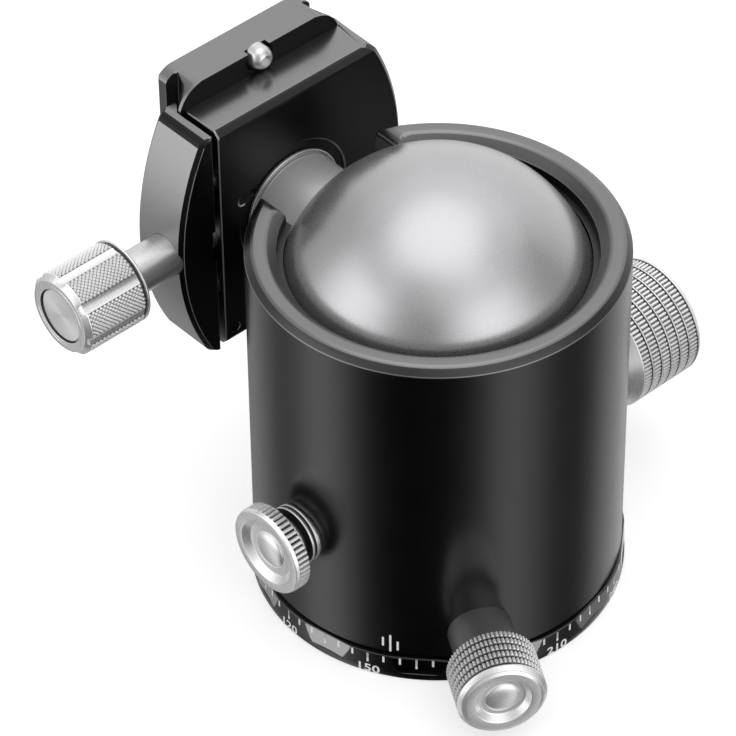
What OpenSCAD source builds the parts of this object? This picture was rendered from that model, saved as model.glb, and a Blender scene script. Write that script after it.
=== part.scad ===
// Tripod ball head: panning base, ball housing and a quick-release clamp.
// Millimetres. +Z is the pan axis, and the origin is the centre of the base's underside.
// The drop notch faces -X, and the neck lies in it with the clamp standing on edge.
// The main lock knob faces +Y, and the drag knob faces -Y.

/* [Fits] */
// Radial clearance of a shaft that turns or slides in its bore
run_fit = 0.05; // [0.02:0.01:0.1]
// Radial clearance of a piece that is pushed or screwed into its seat
push_fit = 0.01; // [0.01:0.01:0.03]
// Gap between flat faces that slide on each other
face_gap = 0.05; // [0.02:0.01:0.1]
// Gap between curved faces that move on each other
slip_gap = 0.3; // [0.2:0.05:0.4]

/* [Ball and neck] */
// Diameter of the ball
ball_d = 58; // [52:0.5:62]
// Diameter of the neck that joins the ball to the clamp
neck_d = 19.8; // [16:0.2:21]
// Diameter of the washer at the end of the neck
neck_washer_d = 21.4; // [20:0.2:24]
// Thickness of that washer
neck_washer_t = 0.8; // [0.5:0.1:1.2]
// How far the clamp's underside stays off the rim while the head tilts
rim_clear = 1.4; // [0.8:0.1:4]

/* [Housing] */
// Room between the ball and the housing bore
bore_room = 1.3; // [1:0.1:2]
// Wall of the housing
housing_wall = 3.7; // [3:0.1:5]
// Height of the rim over the centre of the ball
rim_rise = 14.8; // [13.5:0.1:16]
// Chamfer at the outside of the rim
rim_chamfer = 1.5; // [0.5:0.1:2.4]
// Depth of the bevel inside the rim
lip_bevel = 1.8; // [1:0.1:2.5]
// Thickness of the lip under that bevel
lip_t = 2; // [1.2:0.1:3]
// How far the lip reaches in over the widest part of the ball
lip_catch = 0.7; // [0.4:0.1:1.2]
// Height of the upper seat ring
seat_ring_h = 6; // [4:0.5:8]
// Room on each side of the neck in the drop notch
notch_room = 3.3; // [2:0.1:5]
// Gap between the neck and the bottom of the notch
notch_stop = 0.3; // [0.2:0.05:0.5]
// Radius that rounds the notch's top corners
notch_corner = 3.5; // [1:0.1:5]

/* [Pan base] */
// Height of the base disc that carries the scale
base_h = 4.8; // [4:0.1:7]
// How far the base disc stands out past the housing
base_step = 0.6; // [0:0.1:2]
// Gap between the base disc and the housing
pan_gap = 0.3; // [0.2:0.05:0.5]
// Diameter of the hub that the housing turns on
hub_d = 42; // [38:0.5:44]
// Height of the bearing ring inside the housing
ring_h = 11.1; // [10.5:0.1:14]
// Thickness of the keeper plate on top of the hub
keeper_t = 2; // [1.5:0.1:3]
// How far the keeper plate laps over the bearing ring
keeper_lap = 3.5; // [2:0.1:4.5]
// Diameter of the tripod thread
socket_d = 9.62; // [9.5:0.02:9.7]
// Depth of the tripod thread
socket_depth = 12.6; // [9:0.1:13.5]
// Diameter of the steel insert that holds the thread
insert_d = 15; // [13:0.5:18]
// Diameter of the circle of keeper screws
keeper_pcd = 28; // [24:0.5:30]
// Diameter of a keeper screw
keeper_screw_d = 3; // [2:0.5:4]
// Facets milled round the scale
facets = 12; // [6:1:18]
// Angle that a facet spans at its top edge
facet_top_angle = 17.5; // [10:0.5:19]
// Angle that a facet spans at its bottom edge
facet_bottom_angle = 11.5; // [6:0.5:13]

/* [Ball seat] */
// Radius of the hole through the seat cup
cup_hole_r = 12; // [9:0.5:13]
// Height of the cup at the edge of that hole
cup_edge_h = 3.3; // [2.4:0.1:5]
// Height of the seat cup
cup_h = 14; // [10:0.5:17]
// Height of the wedge guide under the cup
guide_h = 10.7; // [10.5:0.1:13]
// Slope of the lock wedge
wedge_angle = 15; // [10:0.5:20]

/* [Main lock knob] */
// Diameter of the main knob
main_knob_d = 23.8; // [20:0.2:26]
// Length of the main knob
main_knob_len = 18.8; // [14:0.2:24]
// Diameter of the main screw
main_screw_d = 8; // [6:0.5:9]
// Diameter of the main wedge pin
main_wedge_d = 9.6; // [9.4:0.1:9.8]
// Diameter of the black collar behind the main knob
main_collar_d = 18; // [14:0.5:20]
// Length of that collar outside the housing
main_collar_len = 3.6; // [2.5:0.1:6]

/* [Drag knob] */
// Diameter of the drag knob
drag_knob_d = 17; // [14:0.2:20]
// Length of the ribbed part of the drag knob
drag_knob_len = 3.4; // [2.6:0.1:6]
// Diameter of the drag screw
drag_screw_d = 5; // [4:0.5:6]
// Diameter of the drag wedge pin
drag_wedge_d = 5.2; // [5:0.1:5.6]
// Diameter of the collar behind the drag knob
drag_collar_d = 11.2; // [9:0.2:13]

/* [Pan lock knob] */
// Direction of the pan lock knob about the pan axis
pan_knob_angle = -30; // [-50:1:-20]
// Height of the pan lock knob's axis over the housing's lower edge
pan_knob_rise = 6.4; // [6:0.1:7]
// Diameter of the pan lock knob
pan_knob_d = 16.4; // [14:0.2:18]
// Length of the pan lock knob
pan_knob_len = 10.1; // [8:0.1:14]
// Diameter of the pan lock screw
pan_screw_d = 6; // [5:0.5:6]
// Diameter of the collar behind the pan lock knob
pan_collar_d = 11.8; // [9:0.2:12]
// Length of that collar outside the housing
pan_collar_len = 7.2; // [5:0.1:9]

/* [Clamp] */
// Length of the clamp along the dovetail
clamp_len = 50; // [44:1:70]
// Thickness of the clamp under the dovetail floor
clamp_floor_t = 9; // [8.4:0.1:12]
// Height of the jaws over the dovetail floor
jaw_h = 3.3; // [2.8:0.1:4]
// Half the width of the clamp at its middle
clamp_crest = 26.8; // [25:0.2:30]
// Half the width of the clamp at its ends
clamp_end = 20.4; // [20:0.1:22]
// Chamfer along the bowed edges
clamp_chamfer = 1; // [0.3:0.1:1.5]
// Gap between the body and the closed jaw
jaw_gap = 1.3; // [0.8:0.1:2]
// How far the jaw opens
jaw_travel = 4; // [3:0.1:4.4]
// Diameter of a guide pin
guide_pin_d = 4; // [3:0.5:5]
// Distance between the guide pins
guide_pin_pitch = 24; // [21:0.5:26]
// Diameter of the circular recess in the clamp's underside
clamp_recess_d = 25.2; // [24.4:0.2:28]
// Depth of that recess
clamp_recess_t = 0.5; // [0.2:0.1:1]
// Diameter of the bolt that holds the clamp on the neck
clamp_bolt_d = 8; // [6:0.5:10]

/* [Clamp knob] */
// Diameter of the clamp knob
clamp_knob_d = 16.1; // [14:0.1:16.5]
// Length of the clamp knob
clamp_knob_len = 14.7; // [11:0.1:20]
// Diameter of the shaft between the jaw and the knob
clamp_shaft_d = 8.4; // [7:0.1:9]
// Length of that shaft
clamp_shaft_len = 9.7; // [6:0.1:14]
// Diameter of the clamp screw's thread
clamp_screw_d = 6; // [5:0.5:6]
// Flutes round the clamp knob
flutes = 7; // [4:1:10]
// Depth of a flute
flute_depth = 0.6; // [0.2:0.1:1]

/* [Quick-release plate] */
// Length of the plate
plate_len = 50; // [46:1:70]
// Thickness of the plate
plate_t = 8; // [6.5:0.1:10]
// Width of the dovetail at its widest
dovetail_w = 37.8; // [37:0.1:38.4]
// Width of the plate's flange
flange_w = 34.2; // [33.4:0.1:35]
// Corner radius of the plate
plate_corner = 6; // [3:0.5:8]
// How far the plate slides
plate_travel = 30; // [20:1:40]
// Thickness of the rubber strips
pad_t = 1.2; // [0.8:0.1:2]
// Diameter of the camera thread
camera_screw_d = 6.35; // [6.3:0.01:6.4]
// Height of the camera thread over the plate
camera_screw_len = 5; // [4:0.1:6]
// Diameter of the camera screw's head
camera_head_d = 14; // [10:0.5:16]
// Diameter of the stop screw's head
stop_head_d = 4.6; // [4:0.1:5]

/* [Hidden] */
$fn = 96;

black = [0.07, 0.07, 0.075];
grey = [0.3, 0.3, 0.31];
silver = [0.76, 0.76, 0.78];
steel = [0.6, 0.6, 0.62];
brass = [0.78, 0.62, 0.3];
white = [0.9, 0.9, 0.88];
rubber = [0.05, 0.05, 0.05];

// Overrun of every cut
over = 1;
// Sharp edges are broken by this much
edge = 0.4;

// Heights of the pan bearing, from the ground up
housing_z = base_h + pan_gap;
ring_top = housing_z + ring_h;
hub_top = ring_top + pan_gap;
keeper_top = hub_top + keeper_t;
guide_room = 0.4;
guide_ceiling = keeper_top + guide_room;
guide_top = guide_ceiling + guide_h;
cup_lift_room = 0.4;
cup_z = guide_top + cup_lift_room;

// Ball, seats and housing
ball_r = ball_d / 2;
seat_r = ball_r + slip_gap;
ball_z = cup_z + cup_edge_h + sqrt(pow(seat_r, 2) - pow(cup_hole_r, 2));
bore_r = ball_r + bore_room;
housing_r = bore_r + housing_wall;
rim_z = ball_z + rim_rise;
lip_r = ball_r - lip_catch;
lip_z = rim_z - lip_bevel;
seat_ring_top = lip_z - lip_t;
neck_r = neck_d / 2;
notch_r = neck_r + notch_room;
notch_z = ball_z - neck_r - notch_stop + notch_r;

// Pan base
base_r = housing_r + base_step;
hub_r = hub_d / 2;
keeper_r = hub_r + keeper_lap;
washer_in = hub_r + 0.25 * (base_r - hub_r);
washer_out = base_r - 0.25 * (base_r - hub_r);
washer_t = 1;
facet_first = 11.65;
facet_foot = 0.3 * base_h;

// Thread pitch of the lock knobs and of the clamp screw
screw_pitch = 1;
clamp_pitch = 1;
// Half a turn of a lock knob drives its wedge this far
lock_travel = 0.5 * screw_pitch;

// Main lock: wedge pin, screw and knob, at distances from the pan axis
main_wedge_r = main_wedge_d / 2;
main_wedge_floor = 0.3;
main_z = guide_ceiling + main_wedge_floor + main_wedge_r;
main_wedge_in = cup_hole_r - 0.4 * main_wedge_r;
main_wedge_out = bore_r - main_wedge_r;
main_flat_rise = 0.2 * main_wedge_r;
main_pivot_len = 1.2 * main_screw_d / 2;
main_land = housing_r - 1.4;
main_sleeve_r = 0.68 * main_screw_d;
main_collar_end = main_land + 1.4 + main_collar_len;
main_knob_back = main_collar_end + lock_travel + face_gap;
main_knob_face = main_knob_back + main_knob_len;

// Drag: a smaller wedge pin that stays clear of the cup's foot
drag_wedge_r = drag_wedge_d / 2;
drag_cover = 0.7;
drag_z = guide_top - drag_cover - drag_wedge_r;
drag_wedge_in = cup_hole_r;
drag_wedge_out = bore_r - main_wedge_r;
drag_flat_rise = 0.12 * drag_wedge_r;
drag_pivot_len = 0.6 * drag_screw_d;
drag_land = housing_r - 0.7;
drag_sleeve_r = 0.7 * drag_screw_d;
drag_collar_end = drag_land + 2;
drag_boss_back = drag_collar_end + lock_travel + face_gap;
drag_boss_len = 2.4;
drag_knob_back = drag_boss_back + drag_boss_len;
drag_knob_face = drag_knob_back + drag_knob_len;

// Pan lock: a brass pad pressed into a groove of the hub
pan_screw_r = pan_screw_d / 2;
pan_z = housing_z + pan_knob_rise;
pan_pad_len = pan_screw_d / 2;
pan_groove_half = pan_screw_r + 0.4;
pan_groove_r = hub_r - 1.4;
pan_pad_in = pan_groove_r + lock_travel + 0.1;
pan_pad_out = pan_pad_in + pan_pad_len;
pan_land = housing_r - 1;
pan_sleeve_r = 0.7 * pan_screw_d;
pan_collar_end = housing_r + pan_collar_len;
pan_knob_back = pan_collar_end + lock_travel + face_gap;
pan_knob_face = pan_knob_back + pan_knob_len;

// Clamp, in its own frame: X along the dovetail, Y across it, Z along the neck
clamp_z = norm([housing_r, rim_rise]) + rim_clear;
floor_z = clamp_z + clamp_floor_t;
jaw_z = floor_z + jaw_h;
dovetail_mid = 0.6;
jaw_lap = 1.7;
flank_foot = 0.6;
groove_half = dovetail_w / 2 + 2 * face_gap;
tip_half = groove_half - jaw_lap;
jaw_inner = -(groove_half - dovetail_mid);
body_side = jaw_inner + jaw_gap;
bow_sag = clamp_crest - clamp_end;
bow_r = (pow(clamp_len / 2, 2) + pow(bow_sag, 2)) / (2 * bow_sag);
pin_z = clamp_z + clamp_floor_t / 2;
pin_r = guide_pin_d / 2;
pin_x = guide_pin_pitch / 2;
pin_cover = 3.1;
pin_tip = -(clamp_crest - pin_cover);
pin_root = body_side + 2.4 * guide_pin_d;
spring_r = pin_r + 0.8;
spring_depth = 2.5 * pin_r;
spring_turns = 4;
spring_wire = 0.5;
spring_sides = 6;
spring_steps = 14;
bolt_r = clamp_bolt_d / 2;
bolt_head_r = 1.5 * bolt_r;
bolt_head_h = 0.75 * bolt_r;
bolt_head_sink = 1;
bolt_reach = 3 * bolt_r;
socket_share = 0.55;

// Clamp knob, along the same line as the jaw's travel
knob_rise = 4.4;
knob_z = clamp_z + knob_rise;
clamp_screw_r = clamp_screw_d / 2;
clamp_shaft_r = clamp_shaft_d / 2;
shaft_seat = 1.2;
shaft_start = clamp_crest - shaft_seat;
clamp_knob_back = clamp_crest + clamp_shaft_len;
clamp_knob_face = clamp_knob_back + clamp_knob_len;
screw_tip = 8;
clip_t = 0.6;
clip_room = 0.2;

// Quick-release plate
stop_head_r = stop_head_d / 2;
stop_gap = 0.4;
stop_edge = 1.7;
stop_head_h = 2.3;
stop_pocket_t = 1.4;
stop_pocket_r = stop_head_r + 0.7;
stop_x = clamp_len / 2 + stop_gap + stop_head_r;
plate_end = stop_x + stop_edge;
plate_mid = plate_end - plate_len / 2;
plate_z = floor_z + face_gap;
plate_top = plate_z + plate_t;
dovetail_half = dovetail_w / 2;
flange_half = flange_w / 2;
waist_half = flange_half - 2.4;
flank_top = plate_z + flank_foot + dovetail_half - waist_half;
flange_foot = flank_top + 0.4;
flange_lip = 0.5;
pad_sink = pad_t / 2;
pad_w = flange_w / 4;
pad_border = 2.5;
camera_r = camera_screw_d / 2;
camera_head_r = camera_head_d / 2;
camera_head_h = 2.2;
camera_head_sink = 0.5;

// A round piece about Z, from a list of [radius, height] points
module turned(points) rotate_extrude() polygon(points);

// A cylinder about Z between two heights
module rod(r, from, to) translate([0, 0, from]) cylinder(r = r, h = to - from);

// Puts a piece built along +Z on a horizontal axis at a direction and height
module radial(direction, height) {
  rotate([0, 0, direction]) translate([0, 0, height]) rotate([0, 90, 0]) children();
}

// Puts a piece built in the clamp's frame on the neck as it lies at rest
module on_neck() translate([0, 0, ball_z]) rotate([0, -90, 0]) children();

// Puts a piece built along +Z on the clamp knob's axis, pointing out of the jaw
module on_knob_axis() on_neck() translate([0, 0, knob_z]) rotate([90, 0, 0]) children();

// A six-sided key socket, from one height to another
module key_socket(r, from, to) translate([0, 0, from]) cylinder(r = r, h = to - from, $fn = 6);

// Pan base

module facet_cuts() {
  top_apothem = base_r * cos(facet_top_angle / 2);
  bottom_apothem = base_r * cos(facet_bottom_angle / 2);
  rise = base_h - facet_foot;
  for (i = [0:facets - 1])
    rotate([0, 0, facet_first + i * 360 / facets])
      translate([0, base_r * sin(facet_top_angle / 2), 0])
        rotate([90, 0, 0])
          linear_extrude(2 * base_r * sin(facet_top_angle / 2))
            polygon([
              [bottom_apothem, facet_foot],
              [top_apothem - (bottom_apothem - top_apothem) * over / rise, base_h + over],
              [base_r + over, base_h + over],
              [base_r + over, facet_foot]
            ]);
}

module pan_base() {
  color(black) difference() {
    turned([
      [0, 0], [base_r - edge, 0], [base_r, edge], [base_r, base_h], [washer_out, base_h],
      [washer_out, base_h - washer_t], [washer_in, base_h - washer_t], [washer_in, base_h],
      [hub_r, base_h], [hub_r, pan_z - pan_groove_half], [pan_groove_r, pan_z - pan_groove_half],
      [pan_groove_r, pan_z + pan_groove_half], [hub_r, pan_z + pan_groove_half],
      [hub_r, hub_top], [0, hub_top]
    ]);
    rod(insert_d / 2 + push_fit, -over, socket_depth);
    for (i = [0:2])
      rotate([0, 0, i * 120]) translate([keeper_pcd / 2, 0, 0])
        rod(keeper_screw_d / 2 + push_fit, hub_top - 2.5 * keeper_screw_d, hub_top + over);
    facet_cuts();
  }
}

module thread_insert() {
  color(steel) difference() {
    turned([
      [0, 0], [insert_d / 2 - edge, 0], [insert_d / 2, edge],
      [insert_d / 2, socket_depth], [0, socket_depth]
    ]);
    rod(socket_d / 2, -over, socket_depth + over);
  }
}

module pan_washer() {
  color(white) difference() {
    rod(washer_out - push_fit, base_h - washer_t, housing_z - face_gap);
    rod(washer_in + push_fit, base_h - washer_t - over, housing_z + over);
  }
}

module keeper_plate() {
  color(steel) difference() {
    turned([
      [0, hub_top], [keeper_r, hub_top], [keeper_r, keeper_top - edge],
      [keeper_r - edge, keeper_top], [0, keeper_top]
    ]);
    for (i = [0:2])
      rotate([0, 0, i * 120]) translate([keeper_pcd / 2, 0, 0]) {
        rod(keeper_screw_d / 2 + push_fit, hub_top - over, keeper_top + over);
        rod(keeper_screw_d + push_fit, hub_top + keeper_t / 2, keeper_top + over);
      }
  }
}

module keeper_screws() {
  color(steel)
    for (i = [0:2])
      rotate([0, 0, i * 120]) translate([keeper_pcd / 2, 0, 0]) difference() {
        union() {
          rod(keeper_screw_d / 2, hub_top - 2.4 * keeper_screw_d, keeper_top - edge);
          rod(keeper_screw_d, hub_top + keeper_t / 2, keeper_top);
        }
        key_socket(socket_share * keeper_screw_d, hub_top + 0.7 * keeper_t, keeper_top + over);
      }
}

// Housing

// The open-topped notch that the neck drops into, from one radius outwards
module notch_cut(from) {
  translate([-from, 0, 0]) rotate([0, -90, 0]) linear_extrude(2 * housing_r) {
    translate([notch_z, 0]) circle(r = notch_r);
    translate([notch_z, -notch_r]) square([rim_z - notch_z + over, 2 * notch_r]);
    for (side = [-1, 1])
      difference() {
        translate([rim_z - notch_corner, side * (notch_r + notch_corner / 2) - notch_corner / 2])
          square([notch_corner + over, notch_corner]);
        translate([rim_z - notch_corner, side * (notch_r + notch_corner)])
          circle(r = notch_corner);
      }
  }
}

module housing() {
  color(black) difference() {
    turned([
      [bore_r, housing_z], [housing_r - edge, housing_z], [housing_r, housing_z + edge],
      [housing_r, rim_z - rim_chamfer], [housing_r - rim_chamfer, rim_z], [bore_r, rim_z],
      [lip_r, lip_z], [lip_r, seat_ring_top], [bore_r, seat_ring_top]
    ]);
    notch_cut(ball_r / 3);
    radial(90, main_z) {
      rod(main_sleeve_r + push_fit, hub_r, housing_r + over);
      rod(main_collar_d / 2 + push_fit, main_land, housing_r + over);
    }
    radial(-90, drag_z) {
      rod(drag_sleeve_r + push_fit, hub_r, housing_r + over);
      rod(drag_collar_d / 2 + push_fit, drag_land, housing_r + over);
    }
    radial(pan_knob_angle, pan_z) {
      rod(pan_sleeve_r + push_fit, hub_r, housing_r + over);
      rod(pan_collar_d / 2 + push_fit, pan_land, housing_r + over);
    }
  }
}

module bearing_ring() {
  color(brass) difference() {
    turned([
      [hub_r + run_fit, housing_z], [bore_r - push_fit, housing_z],
      [bore_r - push_fit, ring_top], [hub_r + run_fit, ring_top]
    ]);
    radial(pan_knob_angle, pan_z) {
      rod(pan_screw_r + run_fit, 0, housing_r);
      rod(pan_sleeve_r + push_fit, bore_r - housing_wall / 2, housing_r);
    }
  }
}

module wedge_guide() {
  color(silver) difference() {
    turned([
      [cup_hole_r / 3, guide_ceiling], [keeper_r + guide_room, guide_ceiling],
      [keeper_r + guide_room, ring_top], [bore_r - push_fit, ring_top],
      [bore_r - push_fit, guide_top], [bore_r - spring_room(), guide_top],
      [bore_r - spring_room(), guide_top - spring_drop()],
      [spring_in() - push_fit, guide_top - spring_drop()],
      [spring_in() - push_fit, guide_top], [cup_hole_r / 3, guide_top]
    ]);
    radial(90, main_z) {
      rod(main_wedge_r + run_fit, main_wedge_in - main_wedge_r, bore_r);
      rod(main_sleeve_r + push_fit, bore_r - housing_wall / 4, bore_r);
    }
    radial(-90, drag_z) {
      rod(drag_wedge_r + run_fit, drag_wedge_in - main_wedge_r, bore_r);
      rod(drag_sleeve_r + push_fit, bore_r - housing_wall / 4, bore_r);
    }
    foot_slot(main_foot_half() + slip_gap, main_z, main_wedge_in, main_wedge_out);
    rotate([0, 0, 180])
      foot_slot(drag_foot_half() + slip_gap, drag_z, drag_wedge_in, drag_wedge_out);
  }
}

// The recess of the disc spring in the top of the wedge guide
function spring_room() = housing_wall / 4 + 2 * edge;
function spring_drop() = cup_lift_room + edge / 2;
function spring_in() = main_wedge_out - main_wedge_r / 4;

module foot_slot(half, from_z, from_y, to_y) {
  translate([-half, from_y, from_z]) cube([2 * half, to_y - from_y, guide_top - from_z + over]);
}

module cup_spring() {
  top = cup_z - face_gap;
  low = guide_top - spring_drop();
  far = bore_r - spring_room() - slip_gap;
  near = spring_in() + slip_gap / 2;
  color(steel) turned([
    [near, low], [near + edge, low], [far, top - edge], [far, top], [far - edge, top],
    [near, low + edge]
  ]);
}

module upper_seat_ring() {
  color(black) difference() {
    rod(bore_r - push_fit, seat_ring_top - seat_ring_h, seat_ring_top);
    translate([0, 0, ball_z]) sphere(r = seat_r);
    notch_cut(ball_r / 3);
  }
}

// A turned collar on a knob's axis: a sleeve in the wall and a ring outside it
module collar(sleeve_r, bore, ring_r, sleeve_from, land, end) {
  difference() {
    turned([
      [0, sleeve_from], [sleeve_r, sleeve_from], [sleeve_r, land], [ring_r, land],
      [ring_r, end - edge], [ring_r - edge, end], [0, end]
    ]);
    rod(bore, sleeve_from - over, end + over);
  }
}

module main_collar() {
  color(black) radial(90, main_z)
    collar(main_sleeve_r, main_screw_d / 2 + run_fit, main_collar_d / 2,
           bore_r - housing_wall / 4, main_land, main_collar_end);
}

module drag_collar() {
  color(black) radial(-90, drag_z)
    collar(drag_sleeve_r, drag_screw_d / 2 + run_fit, drag_collar_d / 2,
           bore_r - housing_wall / 4, drag_land, drag_collar_end);
}

module pan_collar() {
  color(grey) radial(pan_knob_angle, pan_z)
    collar(pan_sleeve_r, pan_screw_r + run_fit, pan_collar_d / 2,
           bore_r - housing_wall / 2, pan_land, pan_collar_end);
}

// Seat cup and its lift feet

function main_foot_half() = 0.8 * main_wedge_r;
function drag_foot_half() = 0.7 * drag_wedge_r;

// A foot under the cup, cut to the slope of the wedge pin below it
module lift_foot(half, from_y, to_y, low_z) {
  slope = tan(wedge_angle);
  translate([-half, 0, 0]) rotate([90, 0, 90]) linear_extrude(2 * half) polygon([
    [from_y, low_z], [to_y, low_z + (to_y - from_y) * slope], [to_y, cup_z + edge],
    [from_y, cup_z + edge]
  ]);
}

module seat_cup() {
  slope = tan(wedge_angle);
  main_from = cup_hole_r + edge;
  main_to = min(main_wedge_out - slip_gap - lock_travel,
                main_wedge_in + (0.75 * main_wedge_r - main_flat_rise) / slope);
  drag_from = cup_hole_r + edge;
  drag_to = min(drag_wedge_out - slip_gap - lock_travel,
                drag_wedge_in + (0.75 * drag_wedge_r - drag_flat_rise) / slope);
  color(brass) difference() {
    union() {
      rod(bore_r - 2 * run_fit, cup_z, cup_z + cup_h);
      lift_foot(main_foot_half(), main_from, main_to,
                main_z + main_flat_rise + (main_from - main_wedge_in) * slope + 2 * face_gap);
      rotate([0, 0, 180])
        lift_foot(drag_foot_half(), drag_from, drag_to,
                  drag_z + drag_flat_rise + (drag_from - drag_wedge_in) * slope + slip_gap);
    }
    rod(cup_hole_r, 0, cup_z + cup_h);
    translate([0, 0, ball_z]) sphere(r = seat_r);
  }
}

// Lock screws and wedges

// A pin along +Z whose upper side, facing -X here, is planed to the wedge's slope
module wedge_pin(r, from, to, flat_rise, pivot_r, pivot_len) {
  slope = tan(wedge_angle);
  difference() {
    rod(r, from, to);
    translate([0, r + over, 0]) rotate([90, 0, 0]) linear_extrude(2 * (r + over)) polygon([
      [-flat_rise + over * slope, from - over],
      [-flat_rise - (to - from + over) * slope, to + over],
      [-2 * r - over - (to - from) * slope, to + over],
      [-2 * r - over - (to - from) * slope, from - over]
    ]);
    rod(pivot_r + run_fit, to - pivot_len - edge, to + over);
  }
}

module main_wedge() {
  color(steel) radial(90, main_z)
    wedge_pin(main_wedge_r, main_wedge_in, main_wedge_out, main_flat_rise,
              main_screw_d / 4, main_pivot_len);
}

module drag_wedge() {
  color(steel) radial(-90, drag_z)
    wedge_pin(drag_wedge_r, drag_wedge_in, drag_wedge_out, drag_flat_rise,
              drag_screw_d / 4, drag_pivot_len);
}

module pan_brake_pad() {
  color(brass) radial(pan_knob_angle, pan_z) turned([
    [0, pan_pad_in], [pan_screw_r - edge, pan_pad_in], [pan_screw_r, pan_pad_in + edge],
    [pan_screw_r, pan_pad_out], [0, pan_pad_out]
  ]);
}

// A screw with a slim pivot at its tip
module pivot_screw(r, pivot_len, from, to) {
  turned([
    [0, from - pivot_len], [r / 2, from - pivot_len], [r / 2, from], [r - edge, from],
    [r, from + edge], [r, to], [0, to]
  ]);
}

module main_screw() {
  color(steel) radial(90, main_z)
    pivot_screw(main_screw_d / 2, main_pivot_len, main_wedge_out + face_gap,
                main_knob_back + 0.7 * main_knob_len);
}

module drag_screw() {
  color(steel) radial(-90, drag_z)
    pivot_screw(drag_screw_d / 2, drag_pivot_len, drag_wedge_out + face_gap,
                drag_knob_back + 0.3 * drag_knob_len);
}

module pan_screw() {
  color(steel) radial(pan_knob_angle, pan_z) turned([
    [0, pan_pad_out + face_gap], [pan_screw_r - edge, pan_pad_out + face_gap],
    [pan_screw_r, pan_pad_out + face_gap + edge],
    [pan_screw_r, pan_knob_back + 0.6 * pan_knob_len], [0, pan_knob_back + 0.6 * pan_knob_len]
  ]);
}

// Knobs

// Grooves round a knob, so that its knurl stands in separate rings
module ring_grooves(r, depth, from, to, count) {
  pitch = (to - from) / (count + 1);
  for (i = [1:count])
    difference() {
      rod(r + over, from + i * pitch - depth / 2, from + i * pitch + depth / 2);
      rod(r - depth, from - over, to + over);
    }
}

module main_knob() {
  r = main_knob_d / 2;
  bevel = 0.16 * main_knob_len;
  cap_r = 0.68 * r;
  cap_t = 0.08 * main_knob_len;
  color(silver) radial(90, main_z) difference() {
    turned([
      [0, main_knob_back], [0.8 * r, main_knob_back], [r, main_knob_back + bevel],
      [r, main_knob_face - bevel / 2], [r - bevel / 2, main_knob_face], [0, main_knob_face]
    ]);
    rod(main_screw_d / 2 + push_fit, main_knob_back - over, main_knob_back + 0.7 * main_knob_len);
    rod(cap_r + push_fit, main_knob_face - cap_t, main_knob_face + over);
    ring_grooves(r, edge, main_knob_back + bevel, main_knob_face - bevel / 2, 5);
  }
}

module main_knob_cap() {
  r = 0.68 * main_knob_d / 2;
  t = 0.08 * main_knob_len;
  color(silver) radial(90, main_z) turned([
    [0, main_knob_face - t], [r, main_knob_face - t], [r, main_knob_face - t / 2],
    [0.9 * r, main_knob_face - t / 3], [0, main_knob_face - t / 2]
  ]);
}

module drag_knob() {
  r = drag_knob_d / 2;
  boss_r = 0.66 * r;
  dish = 0.3 * drag_knob_len;
  color(silver) radial(-90, drag_z) difference() {
    turned([
      [0, drag_boss_back], [0.85 * boss_r, drag_boss_back],
      [0.85 * boss_r, drag_knob_back - 4 * edge], [boss_r, drag_knob_back - 4 * edge],
      [boss_r, drag_knob_back - 2 * edge], [0.85 * boss_r, drag_knob_back - 2 * edge],
      [0.85 * boss_r, drag_knob_back], [r - edge, drag_knob_back], [r, drag_knob_back + edge],
      [r, drag_knob_face - 2 * edge], [r - 2 * edge, drag_knob_face],
      [0.72 * r, drag_knob_face], [0.6 * r, drag_knob_face - dish],
      [0.44 * r, drag_knob_face - dish], [0.3 * r, drag_knob_face - dish / 3],
      [0, drag_knob_face - dish / 6]
    ]);
    rod(drag_screw_d / 2 + push_fit, drag_boss_back - over,
        drag_knob_back + 0.3 * drag_knob_len);
  }
}

module pan_knob() {
  r = pan_knob_d / 2;
  bevel = 0.06 * pan_knob_len;
  rim = 0.14 * pan_knob_len;
  dish = 0.12 * pan_knob_len;
  color(silver) radial(pan_knob_angle, pan_z) difference() {
    turned([
      [0, pan_knob_back], [r - 2 * bevel, pan_knob_back], [r, pan_knob_back + bevel],
      [r, pan_knob_face - rim], [r - rim / 2, pan_knob_face - rim / 4],
      [r - rim, pan_knob_face], [0.62 * r, pan_knob_face],
      [0.5 * r, pan_knob_face - dish], [0.3 * r, pan_knob_face - 0.6 * dish],
      [0.08 * r, pan_knob_face - 0.4 * dish], [0, pan_knob_face - 0.5 * dish]
    ]);
    rod(pan_screw_r + push_fit, pan_knob_back - over, pan_knob_back + 0.6 * pan_knob_len);
    ring_grooves(r, edge, pan_knob_back, pan_knob_face - rim, 4);
  }
}

// Ball and neck

module ball() {
  neck_end = clamp_z + clamp_recess_t - face_gap - neck_washer_t;
  color(silver) on_neck() difference() {
    union() {
      sphere(r = ball_r, $fn = 180);
      rod(neck_r, 0, neck_end);
    }
    rod(bolt_r + run_fit, neck_end - bolt_reach, neck_end + over);
  }
}

module neck_washer() {
  top = clamp_z + clamp_recess_t - face_gap;
  color(silver) on_neck() difference() {
    rod(neck_washer_d / 2, top - neck_washer_t, top);
    rod(bolt_r + run_fit, top - neck_washer_t - over, top + over);
  }
}

// Clamp

// The outline bowed on one side of the clamp, with both its edges chamfered
module bow(side) {
  translate([0, side * (clamp_crest - bow_r), 0]) rotate_extrude($fn = 180) polygon([
    [0, clamp_z], [bow_r - clamp_chamfer, clamp_z], [bow_r, clamp_z + clamp_chamfer],
    [bow_r, jaw_z - clamp_chamfer], [bow_r - clamp_chamfer, jaw_z], [0, jaw_z]
  ]);
}

// A section drawn in Y and Z, run along the clamp's length
module along_clamp(length) {
  translate([-length / 2, 0, 0]) rotate([90, 0, 90]) linear_extrude(length) children();
}

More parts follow.
